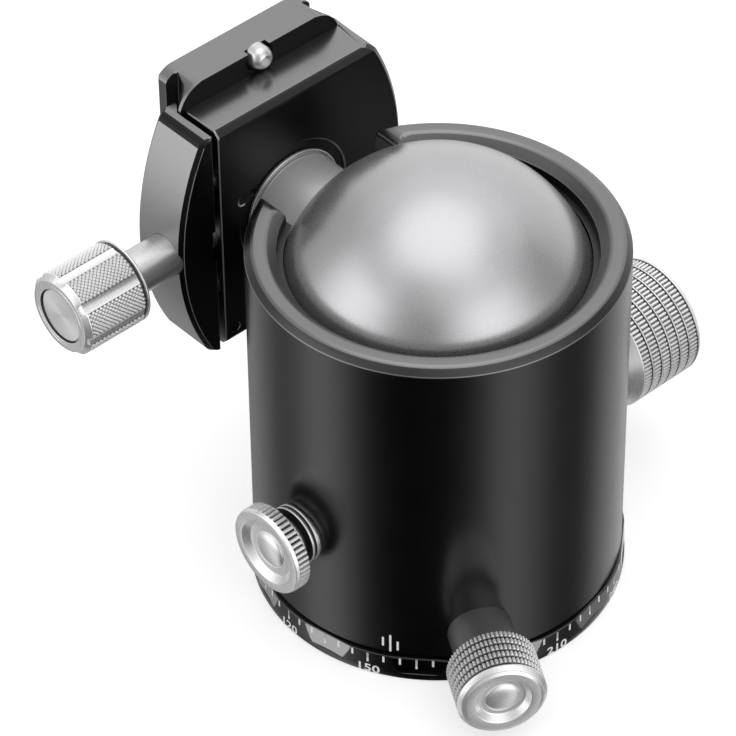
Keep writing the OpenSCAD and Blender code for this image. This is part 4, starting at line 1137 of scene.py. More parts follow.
@dataclass
class PanningBase:
    """The base disc with its facets, ticks and numbers."""

    radius: float = 34.6
    height: float = 4.8
    edge_top: float = 5.25
    facets: int = 12
    first_facet: float = 11.65
    facet_foot: float = 1.5
    top_angle: float = 17.5
    foot_angle: float = 11.5
    scale_start: float = 145.75
    edge_depth: float = 0.6
    edge_steps: int = 14
    steps: int = 1080
    tick_half: float = 0.33
    tick_gap: float = 0.3
    ticks_laid: tuple[tuple[int, float], ...] = ((72, 1.45), (24, 2.2))
    number_step: int = 30
    number_size: float = 2.55
    number_stretch: float = 1.2
    number_foot: float = 0.3
    body: str = "base"

    def face(self, r: float, z: float, a: float) -> float:
        """Radius of the disc's edge at a height and an angle, with the facets planed off.

        Args:
            r: The radius before.
            z: Height.
            a: Angle in radians.

        Returns:
            The radius with the facets.
        """
        if r < self.radius - self.edge_depth or z < self.facet_foot:
            return r
        pitch = 2 * math.pi / self.facets
        off = (a - math.radians(self.first_facet) + pitch / 2) % pitch - pitch / 2
        top = self.radius * math.cos(math.radians(self.top_angle / 2))
        low = self.radius * math.cos(math.radians(self.foot_angle / 2))
        share = (z - self.facet_foot) / (self.edge_top - self.facet_foot)
        flat = low + (top - low) * share - (self.radius - r)
        return min(r, flat / math.cos(off))

    def slot(self, spot: Vector, _: Vector) -> int:
        """Material slot of the disc: 1 on the milled flats.

        Args:
            spot: A face's middle.

        Returns:
            The slot's number.
        """
        reach, angle = math.hypot(spot.x, spot.y), math.atan2(spot.y, spot.x) % (2 * math.pi)
        sunk = self.radius - self.face(self.radius, spot.z, angle)
        return int(reach > self.radius - self.edge_depth and sunk > 0.006
                   and spot.z < self.edge_top - self.tick_gap)

    def build(self, black: bpy.types.Material, white: bpy.types.Material,
              pattern: RingPattern) -> None:
        """Builds the disc with its hub, and paints the scale on it.

        Args:
            black: The disc's material.
            white: The paint.
            pattern: The ring pattern.
        """
        r, h, top, low = self.radius, self.height, self.edge_top, self.facet_foot + 0.01
        section: list[Point2] = [(0, 12.6), (7.51, 12.6), (7.51, 0.3), (7.81, 0), (r - 0.4, 0),
                                 (r - 0.12, 0.12), (r, 0.4), (r, self.facet_foot - 0.01)]
        section += [(r, low + (top - 0.22 - low) * k / self.edge_steps)
                    for k in range(self.edge_steps + 1)]
        section += [(r - 0.06, top - 0.06), (r - 0.22, top), (31.21, top), (31.2, 3.8),
                    (24.41, 3.8), (24.4, h), (21.0, h), (21.0, 8.1), (19.6, 8.1), (19.6, 14.9),
                    (21.0, 14.9), (21.0, 16.3), (20.8, 16.5), (0, 16.5)]
        disc = paint(lathe(section, self.steps, warp=self.face).mesh("disc"), self.slot)
        hand_over("base_disc", [disc], None, [black, FLAT_METAL.material()], self.body,
                  "black_anodised", "pan_base", sharp=30)
        marks = [self.ticks(pattern, white, count, tall) for count, tall in self.ticks_laid]
        marks += [self.number(value) for value in range(0, 360, self.number_step)]
        hand_over("base_scale", marks, None, [white], self.body, "black_anodised", sharp=30)

    def ticks(self, pattern: RingPattern, white: bpy.types.Material, count: int,
              tall: float) -> bpy.types.Mesh:
        """Lays the scale's lines round the disc.

        Args:
            pattern: The ring pattern.
            white: The paint.
            count: Number of lines.
            tall: Height of a line.

        Returns:
            The lines, lying on the disc's edge and facets.
        """
        tick = wrapped_patch(-self.tick_half, self.tick_half, -tall, 0, self.radius)
        tick.verts = [v - Vector((self.radius, 0, 0)) for v in tick.verts]
        return self.press(pattern.lay(tick, count, 1, self.radius, self.edge_top - self.tick_gap,
                                      0.0, white, start=self.scale_start))

    def press(self, mesh: bpy.types.Mesh) -> bpy.types.Mesh:
        """Moves painted marks in onto the facets.

        Args:
            mesh: The marks, on the full radius.

        Returns:
            The same mesh.
        """
        for v in mesh.vertices:
            x, y, z = (c / MM for c in v.co)
            r, a = math.hypot(x, y), math.atan2(y, x) % (2 * math.pi)
            sunk = self.face(self.radius, z, a) - self.radius
            v.co = Vector(((r + sunk) * math.cos(a), (r + sunk) * math.sin(a), z)) * MM
        return mesh

    def number(self, value: int) -> bpy.types.Mesh:
        """Writes one number of the scale round the disc's edge.

        Args:
            value: The number in degrees.

        Returns:
            The number's mesh.
        """
        curve = bpy.data.curves.new("digits", "FONT")
        curve.body = str(value)
        curve.size = self.number_size
        curve.space_character = 1.02
        curve.align_x = "CENTER"
        curve.extrude = 0.04
        curve.offset = 0.055
        curve.resolution_u = 3
        text = bpy.data.objects.new("digits", curve)
        bpy.context.scene.collection.objects.link(text)
        bpy.context.view_layer.update()
        graph = bpy.context.evaluated_depsgraph_get()
        mesh = bpy.data.meshes.new_from_object(text.evaluated_get(graph))
        bpy.data.objects.remove(text)
        bpy.data.curves.remove(curve)
        mesh.materials.clear()
        centre = math.radians(self.scale_start + value)
        for v in mesh.vertices:
            a = centre + self.number_stretch * v.co.x / self.radius
            z = self.number_foot + v.co.y
            r = self.face(self.radius, z, a % (2 * math.pi))
            r += PAINT_RISE if v.co.z > 0 else PAINT_SINK
            v.co = Vector((r * math.cos(a), r * math.sin(a), z)) * MM
        return mesh


# ---------------------------------------------------------------- ball and neck


@dataclass
class BallAndNeck:
    """The satin ball, turned in one piece with its neck, and the bright washer on the neck."""

    radius: float = 29.0
    neck: float = 9.9
    fillet: float = 0.6
    neck_end: float = 38.13
    bore: float = 4.05
    bore_end: float = 26.13
    washer: float = 10.7
    washer_end: float = 38.93
    steps: int = 96
    fillet_steps: int = 6
    body: str = "ball"

    def build(self, satin: bpy.types.Material) -> None:
        """Turns the ball and its washer.

        Args:
            satin: The ball's material.
        """
        reach, wide = self.radius + self.fillet, self.neck + self.fillet
        mid = math.sqrt(reach ** 2 - wide ** 2)
        last = math.degrees(math.atan2(mid, wide))
        section: list[Point2] = [(0, -self.radius)]
        for k in range(1, self.steps + 1):
            a = math.radians(-90 + (90 + last) * k / self.steps)
            section.append((self.radius * math.cos(a), self.radius * math.sin(a)))
        for k in range(1, self.fillet_steps + 1):
            a = math.radians(last - 180 - last * k / self.fillet_steps)
            section.append((wide + self.fillet * math.cos(a), mid + self.fillet * math.sin(a)))
        section += rounded([(self.neck, 30, 0), (self.neck, self.neck_end, 0.3),
                            (self.bore, self.neck_end, 0.3), (self.bore, self.bore_end, 0.2),
                            (0, self.bore_end, 0)])
        turned = paint(lathe(section, 192).mesh("ball"), lambda spot, _: int(spot.z > mid - 0.1))
        hand_over("ball_and_neck", [turned], ON_NECK, [satin, NECK_METAL.material()], self.body,
                  "ball_metal", "ball", sharp=30)
        ring = lathe(rounded([(self.bore, self.neck_end, 0.1), (self.washer, self.neck_end, 0.3),
                              (self.washer, self.washer_end, 0.25),
                              (self.bore, self.washer_end, 0.1)], closed=True), closed=True)
        hand_over("neck_washer_ring", [ring.mesh("washer")], ON_NECK, [satin], self.body,
                  "silver_knob", "neck_washer")


# ---------------------------------------------------------------- knobs


def rib(length: float, height: float, foot: float, crest: float, break_end: float) -> Shell:
    """Makes one straight tooth of a knurled band, standing out along +X.

    Args:
        length: Length along the band's axis.
        height: Height of its crest.
        foot: Half its width at the foot.
        crest: Half its width at the crest.
        break_end: How far its ends slope.

    Returns:
        The closed tooth, from height zero up.
    """
    sections = []
    for z, rise in ((0.0, 0.6), (break_end, 1.0), (length - break_end, 1.0), (length, 0.6)):
        top = height * rise
        sections.append([(-0.3, -foot, z), (0.25 * top, -foot * 0.86, z), (0.85 * top, -crest, z),
                         (top, -crest * 0.5, z), (top, crest * 0.5, z), (0.85 * top, crest, z),
                         (0.25 * top, foot * 0.86, z), (-0.3, foot, z)])
    return loft(sections)


def diamond(half: float, height: float) -> Shell:
    """Makes one diamond tooth, standing out along +X.

    Args:
        half: Half its width and half its length.
        height: Height of its flat top.

    Returns:
        The closed tooth, centred on the origin.
    """
    levels = ((-0.25, half), (0.0, half), (height * 0.8, half * 0.34), (height, half * 0.16))
    return loft([[(x, 0, -h), (x, h, 0), (x, 0, h), (x, -h, 0)] for x, h in levels])


@dataclass
class Knob:
    """A knob turned about its own axis, with a bore for its screw and teeth round its core.

    Attributes:
        name: Name of the piece.
        node: The node that it replaces, and the name of its body.
        place: Placing matrix of its axis.
        radius: Its outer radius.
        depth: Height of the teeth.
        back: Where it begins.
        face: Where its face lies.
        teeth: Teeth in a full row.
        bore: Radius of the screw's bore.
        bore_end: Where the bore ends.
        flare: How far the bore's mouth is broken.
        bands: Number of knurled bands.
    """

    name: str
    node: str
    place: Matrix
    radius: float
    depth: float
    back: float
    face: float
    teeth: int
    bore: float
    bore_end: float
    flare: float
    bands: int = 1

    def root(self) -> float:
        """Radius of the floor between the teeth."""
        return self.radius - self.depth

    def pitch(self) -> float:
        """Distance between the bands."""
        first, last = self.span()
        return (last - first) / self.bands

    def core(self) -> Shell:
        """Turns the knob without its teeth."""
        raise NotImplementedError

    def band(self, pattern: RingPattern, metal: bpy.types.Material) -> bpy.types.Mesh:
        """Lays the teeth."""
        raise NotImplementedError

    def span(self) -> Point2:
        """Where the knurling begins and ends."""
        raise NotImplementedError

    def inset(self, finish: bpy.types.Material) -> None:
        """Adds what is set into the knob's face, if anything is."""

    def slot(self, spot: Vector, _: Vector) -> int:
        """Material slot of the core.

        Args:
            spot: A face's middle, on the knob's axis.

        Returns:
            2 for the floor between the teeth, 3 for grooves cut deeper, both painted shade, 0
            elsewhere.
        """
        (first, last), root = self.span(), self.root()
        reach = math.hypot(spot.x, spot.y)
        if not first < spot.z < last or not root - 0.5 < reach < root + 0.1:
            return 0
        return 3 if reach < root - 0.05 else 2

    def build(self, pattern: RingPattern, metal: bpy.types.Material,
              floor_shades: list[bpy.types.Material]) -> None:
        """Builds the knob.

        Args:
            pattern: The ring pattern.
            metal: The teeth's material.
            floor_shades: Painted shade materials of the floor between the teeth and of the grooves.
        """
        bore = drill(self.bore, self.back, self.bore_end, Matrix(), self.flare)
        core = paint(carve(self.core().mesh("core"), [bore]), self.slot)
        finish = KNOB_METAL.material(self.place, " " + self.node.replace("_", " "))
        hand_over(self.name, [core, slotted(self.band(pattern, metal), 1)], self.place,
                  [finish, metal, *floor_shades], self.node, "silver_knob", self.node)
        self.inset(finish)


@dataclass
class MainKnob(Knob):
    """The large lock knob, with six knurled bands and a recessed cap."""

    name: str = "main_lock_knob"
    node: str = "main_knob"
    place: Matrix = field(default_factory=lambda: ON_MAIN_KNOB)
    radius: float = 11.9
    depth: float = 0.38
    back: float = 38.15
    face: float = 56.95
    teeth: int = 86
    bore: float = 4.01
    bore_end: float = 51.31
    flare: float = 0.3
    bevel: float = 3.01
    bands: int = 6
    cap: float = 8.1
    cap_depth: float = 1.5

    def span(self) -> Point2:
        """Where the knurling begins and ends."""
        return self.back + self.bevel, self.face - self.cap_depth

    def core(self) -> Shell:
        """Turns the knob without its teeth, with a ridge and a groove between its bands.

        Returns:
            The core, with its recess.
        """
        (first, last), r, root = self.span(), self.radius, self.root()
        corners: list[Corner] = [(0, self.back, 0), (9.52, self.back, 0.3), (r, first, 0.3),
                                 (r, first + 0.15, 0.05), (root, first + 0.18, 0.03)]
        for k in range(1, self.bands + 1):
            ring = first + k * self.pitch()
            corners += [(root, ring - 0.32, 0.03), (root - 0.2, ring - 0.3, 0.03),
                        (root - 0.2, ring - 0.14, 0.03), (r, ring - 0.12, 0.05),
                        (r, ring + 0.12, 0.05), (root, ring + 0.15, 0.03)]
        corners[-2:] = [(r, last + 0.15, 0.1), (11.5, last + 0.8, 0.8), (10.4, self.face, 0.4),
                        (self.cap + 0.01, self.face, 0.25), (self.cap + 0.01, last, 0.05),
                        (0, last, 0)]
        return lathe(rounded(corners), KNOB_STEPS)

    def band(self, pattern: RingPattern, metal: bpy.types.Material) -> bpy.types.Mesh:
        """Lays the teeth."""
        tooth = rib(self.pitch() - 0.5, self.depth, 0.29, 0.2, 0.1)
        return pattern.lay(tooth, self.teeth, self.bands, self.root(), self.span()[0] + 0.17,
                           self.pitch(), metal)

    def inset(self, finish: bpy.types.Material) -> None:
        """Turns the cap.

        Args:
            finish: The knob's material.
        """
        last = self.span()[1]
        cap = lathe(rounded([(0, last, 0), (self.cap - 0.01, last, 0.1),
                             (self.cap - 0.01, last + 0.75, 0.15), (7.28, last + 1.0, 0.2),
                             (6.9, last + 0.75, 0.3), (1.2, last + 0.6, 0.3), (0, last + 0.72, 0)]))
        hand_over("main_knob_disc", [cap.mesh("cap")], self.place, [finish], self.node,
                  "silver_knob", "main_knob_cap")


@dataclass
class DragKnob(Knob):
    """The small drag knob on its stepped boss, with a dished face."""

    name: str = "drag_lock_knob"
    node: str = "drag_knob"
    place: Matrix = field(default_factory=lambda: ON_DRAG_KNOB)
    radius: float = 8.5
    depth: float = 0.45
    back: float = 35.85
    face: float = 41.65
    teeth: int = 50
    bore: float = 2.51
    bore_end: float = 39.27
    flare: float = 0.2
    shoulder: float = 38.25
    dish: float = 1.1

    def span(self) -> Point2:
        """Where the knurling begins and ends."""
        return self.shoulder + 0.3, self.face - 0.86

    def core(self) -> Shell:
        """Turns the knob without its teeth.

        Returns:
            The core, with its boss.
        """
        r, root, floor = self.radius, self.root(), self.face - self.dish
        return lathe(rounded([
            (0, self.back, 0), (4.6, self.back, 0.15), (4.6, 36.65, 0.05), (5.61, 36.7, 0.3),
            (5.61, 37.35, 0.3), (4.6, 37.4, 0.05), (4.6, self.shoulder, 0.1),
            (root - 0.3, self.shoulder, 0.2), (root, self.shoulder + 0.3, 0.1),
            (root, self.face - 0.85, 0.05), (r - 0.02, self.face - 0.8, 0.1),
            (r - 0.25, self.face, 0.3), (6.5, self.face, 0.5), (5.2, floor, 0.6), (3.7, floor, 0)])
            + dome(3.7, floor, self.face - 0.12), KNOB_STEPS)

    def band(self, pattern: RingPattern, metal: bpy.types.Material) -> bpy.types.Mesh:
        """Lays the teeth."""
        tooth = rib(2.5, self.depth, 0.36, 0.25, 0.2)
        return pattern.lay(tooth, self.teeth, 1, self.root(), self.shoulder + 0.18, 0.0, metal)

    def slot(self, spot: Vector, normal: Vector) -> int:
        """Material slot of the core: 3, painted shade, on the knurl's floor and the boss between
        the rings.

        Args:
            spot: A face's middle, on the knob's axis.
            normal: The face's normal.

        Returns:
            The slot's number.
        """
        reach = math.hypot(spot.x, spot.y)
        boss = spot.z < self.shoulder + 0.1 and (reach < 5.0 or normal.z < -0.9)
        return 3 if boss or super().slot(spot, normal) else 0


@dataclass
class PanKnob(Knob):
    """The panning lock knob, with five knurled bands and a domed middle."""

    name: str = "pan_lock_knob"
    node: str = "pan_knob"
    place: Matrix = field(default_factory=lambda: ON_PAN_KNOB)
    radius: float = 8.2
    depth: float = 0.4
    back: float = 41.75
    face: float = 51.85
    teeth: int = 64
    bore: float = 3.01
    bore_end: float = 47.81
    flare: float = 0.2
    bands: int = 5
    rim: float = 51.5
    floor: float = 50.6
    crown: float = 51.4

    def span(self) -> Point2:
        """Where the knurling begins and ends."""
        return self.back + 0.61, self.face - 1.41

    def core(self) -> Shell:
        """Turns the knob without its teeth, with a groove after each band.

        Returns:
            The core, with its domed middle.
        """
        (first, last), r, root = self.span(), self.radius, self.root()
        corners: list[Corner] = [(0, self.back, 0), (7.0, self.back, 0.2), (root, first - 0.1, 0.1)]
        for k in range(self.bands):
            high = first + k * self.pitch() + self.pitch()
            corners += [(root, high - 0.52, 0.03), (root - 0.3, high - 0.5, 0.03),
                        (root - 0.3, high - 0.06, 0.03), (root, high - 0.04, 0.03)]
        corners += [(r - 0.03, last + 0.06, 0.1), (r - 0.03, last + 0.36, 0.1),
                    (7.49, self.rim, 0.15), (7.34, self.rim, 0.05), (6.79, self.face, 0.2),
                    (5.2, self.face, 0.35), (4.2, self.floor, 0.4), (3.3, self.floor, 0)]
        return lathe(rounded(corners) + dome(3.3, self.floor, self.crown), KNOB_STEPS)

    def band(self, pattern: RingPattern, metal: bpy.types.Material) -> bpy.types.Mesh:
        """Lays the teeth."""
        tooth = rib(self.pitch() - 0.52, self.depth, 0.27, 0.2, 0.1)
        return pattern.lay(tooth, self.teeth, self.bands, self.root(), self.span()[0],
                           self.pitch(), metal)


@dataclass
class ClampKnob(Knob):
    """The clamp's knob, with seven flutes between knurled lands, and its spun disc."""

    name: str = "clamp_lock_knob"
    node: str = "clamp_knob"
    place: Matrix = field(default_factory=lambda: ON_CLAMP_KNOB)
    radius: float = 8.05
    depth: float = 0.3
    back: float = 36.5
    face: float = 51.2
    teeth: int = 56
    bore: float = 3.01
    bore_end: float = 46.79
    flare: float = 0.2
    flutes: int = 7
    flute: float = 2.576
    flute_depth: float = 0.6
    groove: float = 7.27
    groove_start: float = 37.35
    groove_end: float = 37.85
    diamond_half: float = 0.37
    diamond_pitch: float = 0.44
    diamond_rows: int = 27
    land_share: float = 0.64
    disc: float = 5.31
    disc_sink: float = 0.4
    disc_depth: float = 1.47

    def fluted(self, r: float, z: float, a: float) -> float:
        """Radius at a height and an angle, with the flutes scooped out in front.

        Args:
            r: The radius before.
            z: Height.
            a: Angle in radians.

        Returns:
            The radius with the flutes.
        """
        if z < self.groove_end - 0.05 or r < self.radius - 1.4:
            return r
        off_axis = self.radius + self.flute - self.flute_depth
        step = 2 * math.pi / self.flutes
        off = abs((a + step / 2) % step - step / 2)
        side = off_axis * math.sin(off)
        if side >= self.flute:
            return r
        return min(r, off_axis * math.cos(off) - math.sqrt(self.flute ** 2 - side ** 2))

    def core(self) -> Shell:
        """Turns the knob without its teeth.

        Returns:
            The core, with its flutes.
        """
        r, low, face = self.radius, self.root(), self.face
        return lathe(rounded([
            (0, self.back, 0), (7.3, self.back, 0.3), (r, self.back + 0.5, 0.3),
            (r, self.groove_start, 0.25), (self.groove, self.groove_start, 0.1),
            (self.groove, self.groove_end, 0.1), (low - 0.1, self.groove_end, 0.1),
            (low, self.groove_end + 0.2, 0.05), (low, face - 1.25, 0.05),
            (r - 0.02, face - 1.2, 0.15), (r - 0.05, face - 0.95, 0.1), (7.02, face, 0.2),
            (6.2, face, 0), (6.15, face - 0.12, 0), (5.95, face - 0.12, 0), (5.9, face, 0),
            (self.disc, face, 0.2), (self.disc, face - self.disc_depth, 0.05),
            (0, face - self.disc_depth, 0)]), self.flutes * 60, warp=self.fluted)

    def band(self, pattern: RingPattern, metal: bpy.types.Material) -> bpy.types.Mesh:
        """Lays the diamonds on the lands."""
        tooth = diamond(self.diamond_half, self.depth)
        return pattern.lay(tooth, self.teeth, self.diamond_rows, self.root(),
                           self.groove_end + 0.38, self.diamond_pitch, metal, stagger=0.5,
                           lands=self.flutes, share=self.land_share, start=360 / self.teeth / 2)

    def slot(self, spot: Vector, _: Vector) -> int:
        """Material slot of the core: painted shade, 2 on the lands, 3 in the groove and round the
        disc.

        Args:
            spot: A face's middle, on the knob's axis.

        Returns:
            The slot's number.
        """
        reach = math.hypot(spot.x, spot.y)
        land = abs(reach - self.root()) < 0.06 and self.groove_end < spot.z < self.face - 1.2
        groove = 5 < reach < self.radius - 0.1 and self.groove_start < spot.z < self.groove_end
        gap = abs(reach - self.disc) < 0.05 and spot.z > self.face - 1.5
        return 3 if groove or gap else 2 * int(land)

    def inset(self, _: bpy.types.Material) -> None:
        """Turns the spun disc, which has a material of its own."""
        top, low = self.face - self.disc_sink, self.face - self.disc_depth
        disc = lathe(rounded([(0, low, 0), (5.2, low, 0.05), (5.2, top - 0.15, 0.05),
                              (5.05, top, 0.05), (0, top, 0)])).mesh("disc")
        hand_over("clamp_knob_disc", [disc], self.place, [DISC_METAL.material(self.place)],
                  self.node, "silver_knob", "clamp_knob_cap")


# ---------------------------------------------------------------- clamp


def squeezed(points: Sequence[Point2], amount: float) -> list[Point2]:
    """Draws a section's outermost faces in by the same amount on each side.

    Args:
        points: The section's points.
        amount: How far the faces move in.

    Returns:
        The smaller section, with as many points.
    """
    low_y, high_y = min(p[0] for p in points) + amount, max(p[0] for p in points) - amount
    low_z, high_z = min(p[1] for p in points) + amount, max(p[1] for p in points) - amount
    return [(min(max(y, low_y), high_y), min(max(z, low_z), high_z)) for y, z in points]


def along_x(half: float, section_at: Callable[[float], Sequence[Point2]], middle: float = 0.0,
            break_edge: float = 0.35, steps: int = 28, reach: float = 2.5) -> Shell:
    """Runs a section along the clamp, with the edges of both ends broken.

    Args:
        half: Half the piece's length.
        section_at: Gives the section's points, across and up, at a distance from the middle.
        middle: Where the piece's middle is.
        break_edge: Size of the round on the end faces' edges.
        steps: Number of steps between the ends.
        reach: How far from each end the section changes quickly.

    Returns:
        The closed shell.
    """
    ends = [(half, break_edge)] + [(half - break_edge * (1 - math.cos(math.radians(a))),
                                    break_edge * (1 - math.sin(math.radians(a)))) for a in (30, 60)]
    inner, bend = half - break_edge, half - reach
    body = [bend * (2 * k / steps - 1) for k in range(steps + 1)]
    body += [bend + reach * math.sin(math.radians(a)) for a in range(10, 90, 8)
             if bend + reach * math.sin(math.radians(a)) < inner - 0.05]
    body = sorted([*body, *(-x for x in body if x > bend), inner, -inner])
    stations = [(-x, cut) for x, cut in ends] + [(x, 0.0) for x in body]
    stations += [(x, cut) for x, cut in reversed(ends)]
    sections = []
    for x, cut in stations:
        sections.append([(middle + x, y, z) for y, z in squeezed(section_at(x), cut)])
    return loft(sections)


@dataclass
class Clamp:
    """The dovetail clamp: a body with a fixed jaw, and a moving jaw across the groove."""

    half_length: float = 25.0
    crest: float = 26.8
    bow_radius: float = 52.03
    body_side: float = -17.1
    foot: float = 38.48
    floor: float = 47.48
    lip: float = 50.78
    body_corner: float = 2.0
    lip_corner: float = 0.6
    jaw_corner: float = 1.5
    end_chamfer: float = 1.2
    pin_x: float = 12.0
    pin_z: float = 42.98
    wall: float = 17.1
    groove_side: float = 19.6
    groove_top: float = 48.08
    lip_edge: float = 17.9
    jaw_back: float = -18.4
    jaw_edge: float = -16.7
    recess: float = 12.6
    recess_depth: float = 0.5
    bolt_hole: float = 4.01
    bolt_head: float = 6.01
    bolt_seat: float = 43.48
    screw_hole: float = 3.05
    screw_hole_end: float = 6.8
    clip_seat: Point2 = (28.0, 25.55)
    boss_seat: float = 19.2
    spring_seat: float = 12.1
    pin_hole: Point2 = (13.0, 7.5)
    jaw_inside: Point2 = (26.5, 24.1)
    dimple: Point2 = (-21.75, -14.7)
    slot_x: float = 6.8
    slot_ends: Point2 = (-9.32, -11.72)
    slot_steps: int = 24

    def bowed(self, x: float, corner: float) -> float:
        """Distance of the bowed outer face from the middle at a place along the clamp.

        Args:
            x: Place along the clamp.
            corner: Radius of the round between the face and the end.

        Returns:
            The distance.
        """
        out = self.crest - self.bow_radius + math.sqrt(self.bow_radius ** 2 - x * x)
        past = abs(x) - (self.half_length - corner)
        if past > 0:
            out -= corner - math.sqrt(max(corner ** 2 - past ** 2, 0.0))
        return out

    def body_section(self, x: float) -> list[Point2]:
        """Section of the body and the fixed jaw.

        Args:
            x: Place along the clamp.

        Returns:
            The section's points.
        """
        low, high = self.bowed(x, self.body_corner), self.bowed(x, self.lip_corner)
        foot = self.foot + max(0.0, abs(x) - (self.half_length - self.end_chamfer))
        return rounded([
            (self.body_side, foot, 0.35), (low - 1, foot, 0.3), (low, foot + 1, 0.3),
            (high, self.lip - 1, 0.3), (high - 1, self.lip, 0.3), (self.lip_edge, self.lip, 0.2),
            (self.lip_edge, self.lip - 1, 0.2), (self.groove_side, self.groove_top, 0.1),
            (self.groove_side, self.floor, 0.1), (self.body_side, self.floor, 0.35)],
            closed=True, each=4)

    def jaw_section(self, x: float) -> list[Point2]:
        """Section of the moving jaw.

        Args:
            x: Place along the clamp.

        Returns:
            The section's points.
        """
        out, back, edge = -self.bowed(x, self.jaw_corner), self.jaw_back, self.jaw_edge
        cut = min(0.8, 0.7 * (back - out))
        return rounded([
            (back, self.foot, 0.3), (back, self.groove_top, 0.1), (edge, self.lip - 1, 0.2),
            (edge, self.lip, 0.2), (out + cut, self.lip, 0.3), (out, self.lip - cut, 0.3),
            (out, self.foot + cut, 0.3), (out + cut, self.foot, 0.3)], closed=True, each=4)

    def across(self, x: float, z: float) -> Matrix:
        """Places a hole whose axis runs across the clamp, towards the knob."""
        return move(x, 0, z) @ turn(90, "X")

    def body_slot(self, spot: Vector, normal: Vector) -> int:
        """Material slot of the body: 1 underside in painted shade, 2 its chamfers, 3 painted edge
        highlights.

        Args:
            spot: A face's middle, on the piece's axis.
            normal: The face's normal.

        Returns:
            The slot's number, or 0 elsewhere.
        """
        if normal.z < -0.95 or normal.z > -0.3:
            return int(normal.z < -0.95 and spot.z < self.foot + 1)
        near_hole = abs(spot.y) < 14.5 and abs(spot.x) < 23
        return 3 if near_hole or spot.y < self.body_side + 0.5 else 2

    def jaw_slot(self, spot: Vector, normal: Vector) -> int:
        """Material slot of the jaw: 1 underside and end rounds in painted shade, 3 painted edge
        highlight,
        4 outer face with a painted reflection.

        Args:
            spot: A face's middle, on the piece's axis.
            normal: The face's normal.

        Returns:
            The slot's number, or 0 elsewhere.
        """
        end_round = abs(spot.x) > self.half_length - self.jaw_corner and normal.y < -0.2
        if normal.z < -0.985 or (end_round and abs(normal.x) < 0.93):
            return 1
        if normal.z < -0.75 and spot.y < -18.7:
            return 3
        if normal.z < -0.3:
            return 1
        return 4 if normal.y < -0.7 and spot.y < -19 else 0

    def build(self, gloss: bpy.types.Material) -> None:
        """Builds the body and the jaw.

        Args:
            gloss: The material of the groove and the jaw's top.
        """
        # Painted light on the clamp: shade on undersides, highlights on edges, a reflection on the
        # jaw's outer face.
        finishes = [gloss, SHADE_BLACK.material(suffix=" clamp"), BLACK_CHAMFER.material(),
                    EDGE_HIGHLIGHT.material(suffix=" clamp"), JAW_REFLECTION_GREY.material()]
        screw, back = self.across(0, CLAMP_SCREW_Z), -self.jaw_back
        screw_inside, pin_inside = self.jaw_inside
        holes = [drill(self.recess, self.foot, self.foot + self.recess_depth, Matrix(), 0.3, 144),
                 drill(self.bolt_hole, self.foot, self.floor + 1, Matrix()),
                 drill(self.bolt_head, self.floor, self.bolt_seat, Matrix(), 0.3),
                 drill(1.0, self.foot, self.foot + 1, move(*self.dimple, 0), 0.1, 32),
                 self.slot_cutter(),
                 drill(self.screw_hole, self.wall, self.screw_hole_end, screw, 0.2)]
        cuts = [drill(self.screw_hole, back, screw_inside, screw),
                drill(4.25, *self.clip_seat, screw), drill(5.6, back, self.boss_seat, screw)]
        for side in (-1, 1):
            pin = self.across(side * self.pin_x, self.pin_z)
            holes += [drill(3.3, self.wall, self.spring_seat, pin, 0.15),
                      drill(2.01, *self.pin_hole, pin)]
            cuts.append(drill(2.05, back, pin_inside, pin, 0.15))
        for name, section_at, cutters, rule, body, node in (
                ("clamp_body_block", self.body_section, holes, self.body_slot, "clamp",
                 "clamp_body"),
                ("clamp_jaw_bar", self.jaw_section, cuts, self.jaw_slot, "jaw", "clamp_jaw")):
            made = carve(along_x(self.half_length, section_at).mesh(name, weld=1e-3), cutters)
            hand_over(name, [paint(made, rule)], ON_NECK, finishes, body, "black_gloss", node,
                      sharp=24)

    def slot_cutter(self) -> bpy.types.Mesh:
        """Makes the cutter for the short slot in the underside.

        Returns:
            The cutter's mesh.
        """
        high, low = self.slot_ends
        middle = (high + low) / 2
        turns = [2 * math.pi * k / self.slot_steps for k in range(self.slot_steps)]
        ring = [(self.slot_x + math.cos(a), (high if math.sin(a) > 0 else low) + math.sin(a))
                for a in turns]
        levels = [(self.foot - 0.1, 1.3), (self.foot + 0.2, 1.0), (self.foot + 1.0, 1.0)]
        return loft([[(self.slot_x + (x - self.slot_x) * k, middle + (y - middle) * k, z)
                      for x, y in ring] for z, k in levels]).mesh("slot")


# ---------------------------------------------------------------- quick-release plate


def block(low: Corner, high: Corner) -> Shell:
    """Makes a plain block for a cutter or a pad's core.

    Args:
        low: Its lowest corner.
        high: Its highest corner.

    Returns:
        The closed block.
    """
    ring = [(low[0], low[1]), (high[0], low[1]), (high[0], high[1]), (low[0], high[1])]
    return loft([[(x, y, z) for x, y in ring] for z in (low[2], high[2])])


